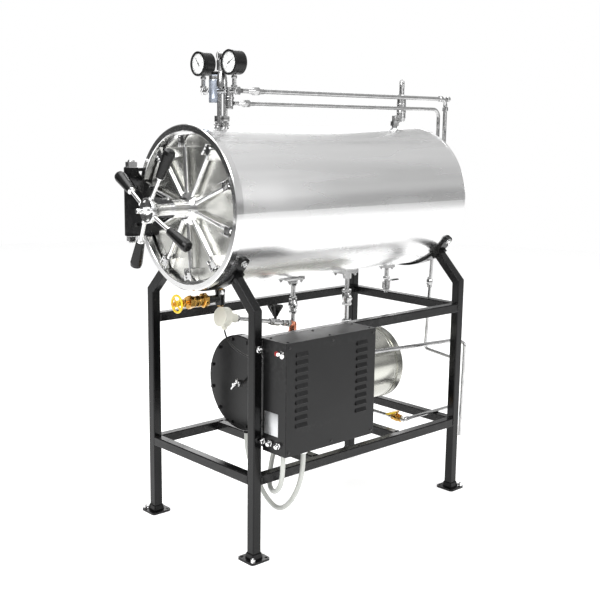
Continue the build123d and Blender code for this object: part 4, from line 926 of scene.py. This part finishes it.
def make_box():
    slot_shade, screws = bmesh.new(), bmesh.new()
    # Thin black slabs in the louvre openings: painted shade for the dark space behind each hood.
    for y in (-0.445, -0.160):
        for k in range(10):
            z = 0.492 + 0.027 * k
            slab(slot_shade, (0.4301, y - 0.0245, z - 0.0022), (0.4336, y + 0.0245, z + 0.0002), 0.0004)
    piece("louvre_slot_shade", slot_shade, "mark")
    for y in (-0.500, -0.303, -0.105):
        for z in (0.412, 0.769):
            lathe(screws, [(0.0050, 0), (0.0048, 0.0014), (0.0030, 0.0026), (0.0006, 0.0030)], (0.430, y, z), (1, 0, 0), 20)
    for x in (0.330, 0.414):
        for y in (-0.495, -0.303, -0.110):
            lathe(screws, [(0.0050, 0), (0.0048, 0.0014), (0.0030, 0.0026), (0.0006, 0.0030)], (x, y, 0.784), (0, 0, 1), 20)
    piece("box_screws", screws, "dark")

    bm = bmesh.new()
    for lo, hi in (((0.3235, -0.5158, 0.4595), (0.3925, -0.5150, 0.5385)),):
        slab(bm, lo, hi, 0.0003)
    for x in (0.3275, 0.3885):
        for z in (0.4635, 0.5345):
            lathe(bm, [(0.0016, 0), (0.0015, 0.0007), (0.0006, 0.0010)], (x, -0.5158, z), (0, -1, 0), 12)
    piece("box_plate_bare", bm, "plate")

    bm = bmesh.new()
    for x in (0.408,):
        lathe(bm, [(0.0135, 0), (0.0135, 0.003), (0.0105, 0.005)], (x, -0.515, 0.744), (0, -1, 0), 28)
        tube(bm, [(x, -0.519, 0.744), (x + 0.006, -0.534, 0.748), (x + 0.009, -0.540, 0.751)], [0.004, 0.0044, 0.0050], 12)
    lathe(bm, [(0.0120, 0), (0.0120, 0.003), (0.0095, 0.005)], (0.3125, -0.533, 0.748), (1, 0, 0), 28)
    tube(bm, [(0.316, -0.533, 0.748), (0.330, -0.534, 0.752), (0.336, -0.534, 0.755)], [0.004, 0.0044, 0.0050], 12)
    for x in (0.322, 0.357, 0.398):
        hexagon(bm, (x, -0.515, 0.432), (0, -1, 0), 0.020, 0.008)
        lathe(bm, [(0.0085, 0), (0.0085, 0.010), (0.0065, 0.012)], (x, -0.522, 0.432), (0, -1, -0.25), 24)
    piece("box_fittings", bm, "chrome")
    bm = bmesh.new()
    lathe(bm, [(0.0085, 0), (0.0085, 0.0042), (0.0068, 0.0066), (0.002, 0.0078)], (0.384, -0.515, 0.744), (0, -1, 0), 28)
    piece("box_lamp", bm, "lamp")

    bm = bmesh.new()
    for x, y in ((0.400, -0.405), (0.380, -0.480)):
        lathe(bm, [(0.0125, 0), (0.0150, 0.001), (0.0150, 0.007), (0.0125, 0.008)], (x, y, 0.397), (0, 0, -1), 28)
        hexagon(bm, (x, y, 0.3895), (0, 0, -1), 0.024, 0.006)
    piece("gland_nuts", bm, "chrome")


# Cords
def cord(name, points, radius, mat):
    data = bpy.data.curves.new(name, "CURVE")
    data.dimensions = "3D"
    data.bevel_depth = radius
    data.bevel_resolution = 5
    data.resolution_u = 12
    data.use_fill_caps = True
    spline = data.splines.new("NURBS")
    spline.points.add(len(points) - 1)
    for point, co in zip(spline.points, points):
        point.co = (*co, 1)
    spline.order_u = 3
    spline.use_endpoint_u = True
    obj = bpy.data.objects.new(name, data)
    COLLECTION.objects.link(obj)
    data.materials.append(mat)
    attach(obj, "frame")
    return obj


CABLE = [(0, -0.433, 0.759), (0.010, -0.435, 0.732), (0.046, -0.440, 0.706), (0.104, -0.447, 0.690),
         (0.172, -0.455, 0.683), (0.238, -0.463, 0.681), (0.3005, -0.469, 0.684)]
LONG = [(0.400, -0.405, 0.385), (0.400, -0.405, 0.330), (0.372, -0.402, 0.245), (0.318, -0.397, 0.170),
        (0.255, -0.390, 0.132), (0.190, -0.383, 0.150), (0.135, -0.372, 0.183), (0.075, -0.358, 0.228),
        (0.020, -0.343, 0.292), (0.020, -0.343, 0.352)]
SHORT = [(0.380, -0.480, 0.385), (0.380, -0.480, 0.325), (0.364, -0.477, 0.268), (0.322, -0.468, 0.232),
         (0.270, -0.448, 0.243), (0.232, -0.405, 0.303), (0.1946, -0.343, 0.3767), (0.1486, -0.343, 0.4153)]


def make_cords():
    for name, points, radius, mat, node, slot in (
            ("switch_lead", CABLE, 0.003, MATS["cable"], "switch_cable", "cable_skin"),
            ("conduit_hose_long", LONG, 0.0085, MATS["conduit"], "conduit_long", "conduit_skin"),
            ("conduit_hose_short", SHORT, 0.0085, MATS["conduit"], "conduit_short", "conduit_skin")):
        obj = cord(name, points, radius, mat)
        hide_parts(node)


set_camera()
set_world()
set_floor()
set_lights()
dress_cad()
make_stand()
make_door_detail()
make_gauges()
make_top_pipes()
make_feed_lines()
make_switch()
make_drain_valve()
make_boiler()
make_box()
make_cords()
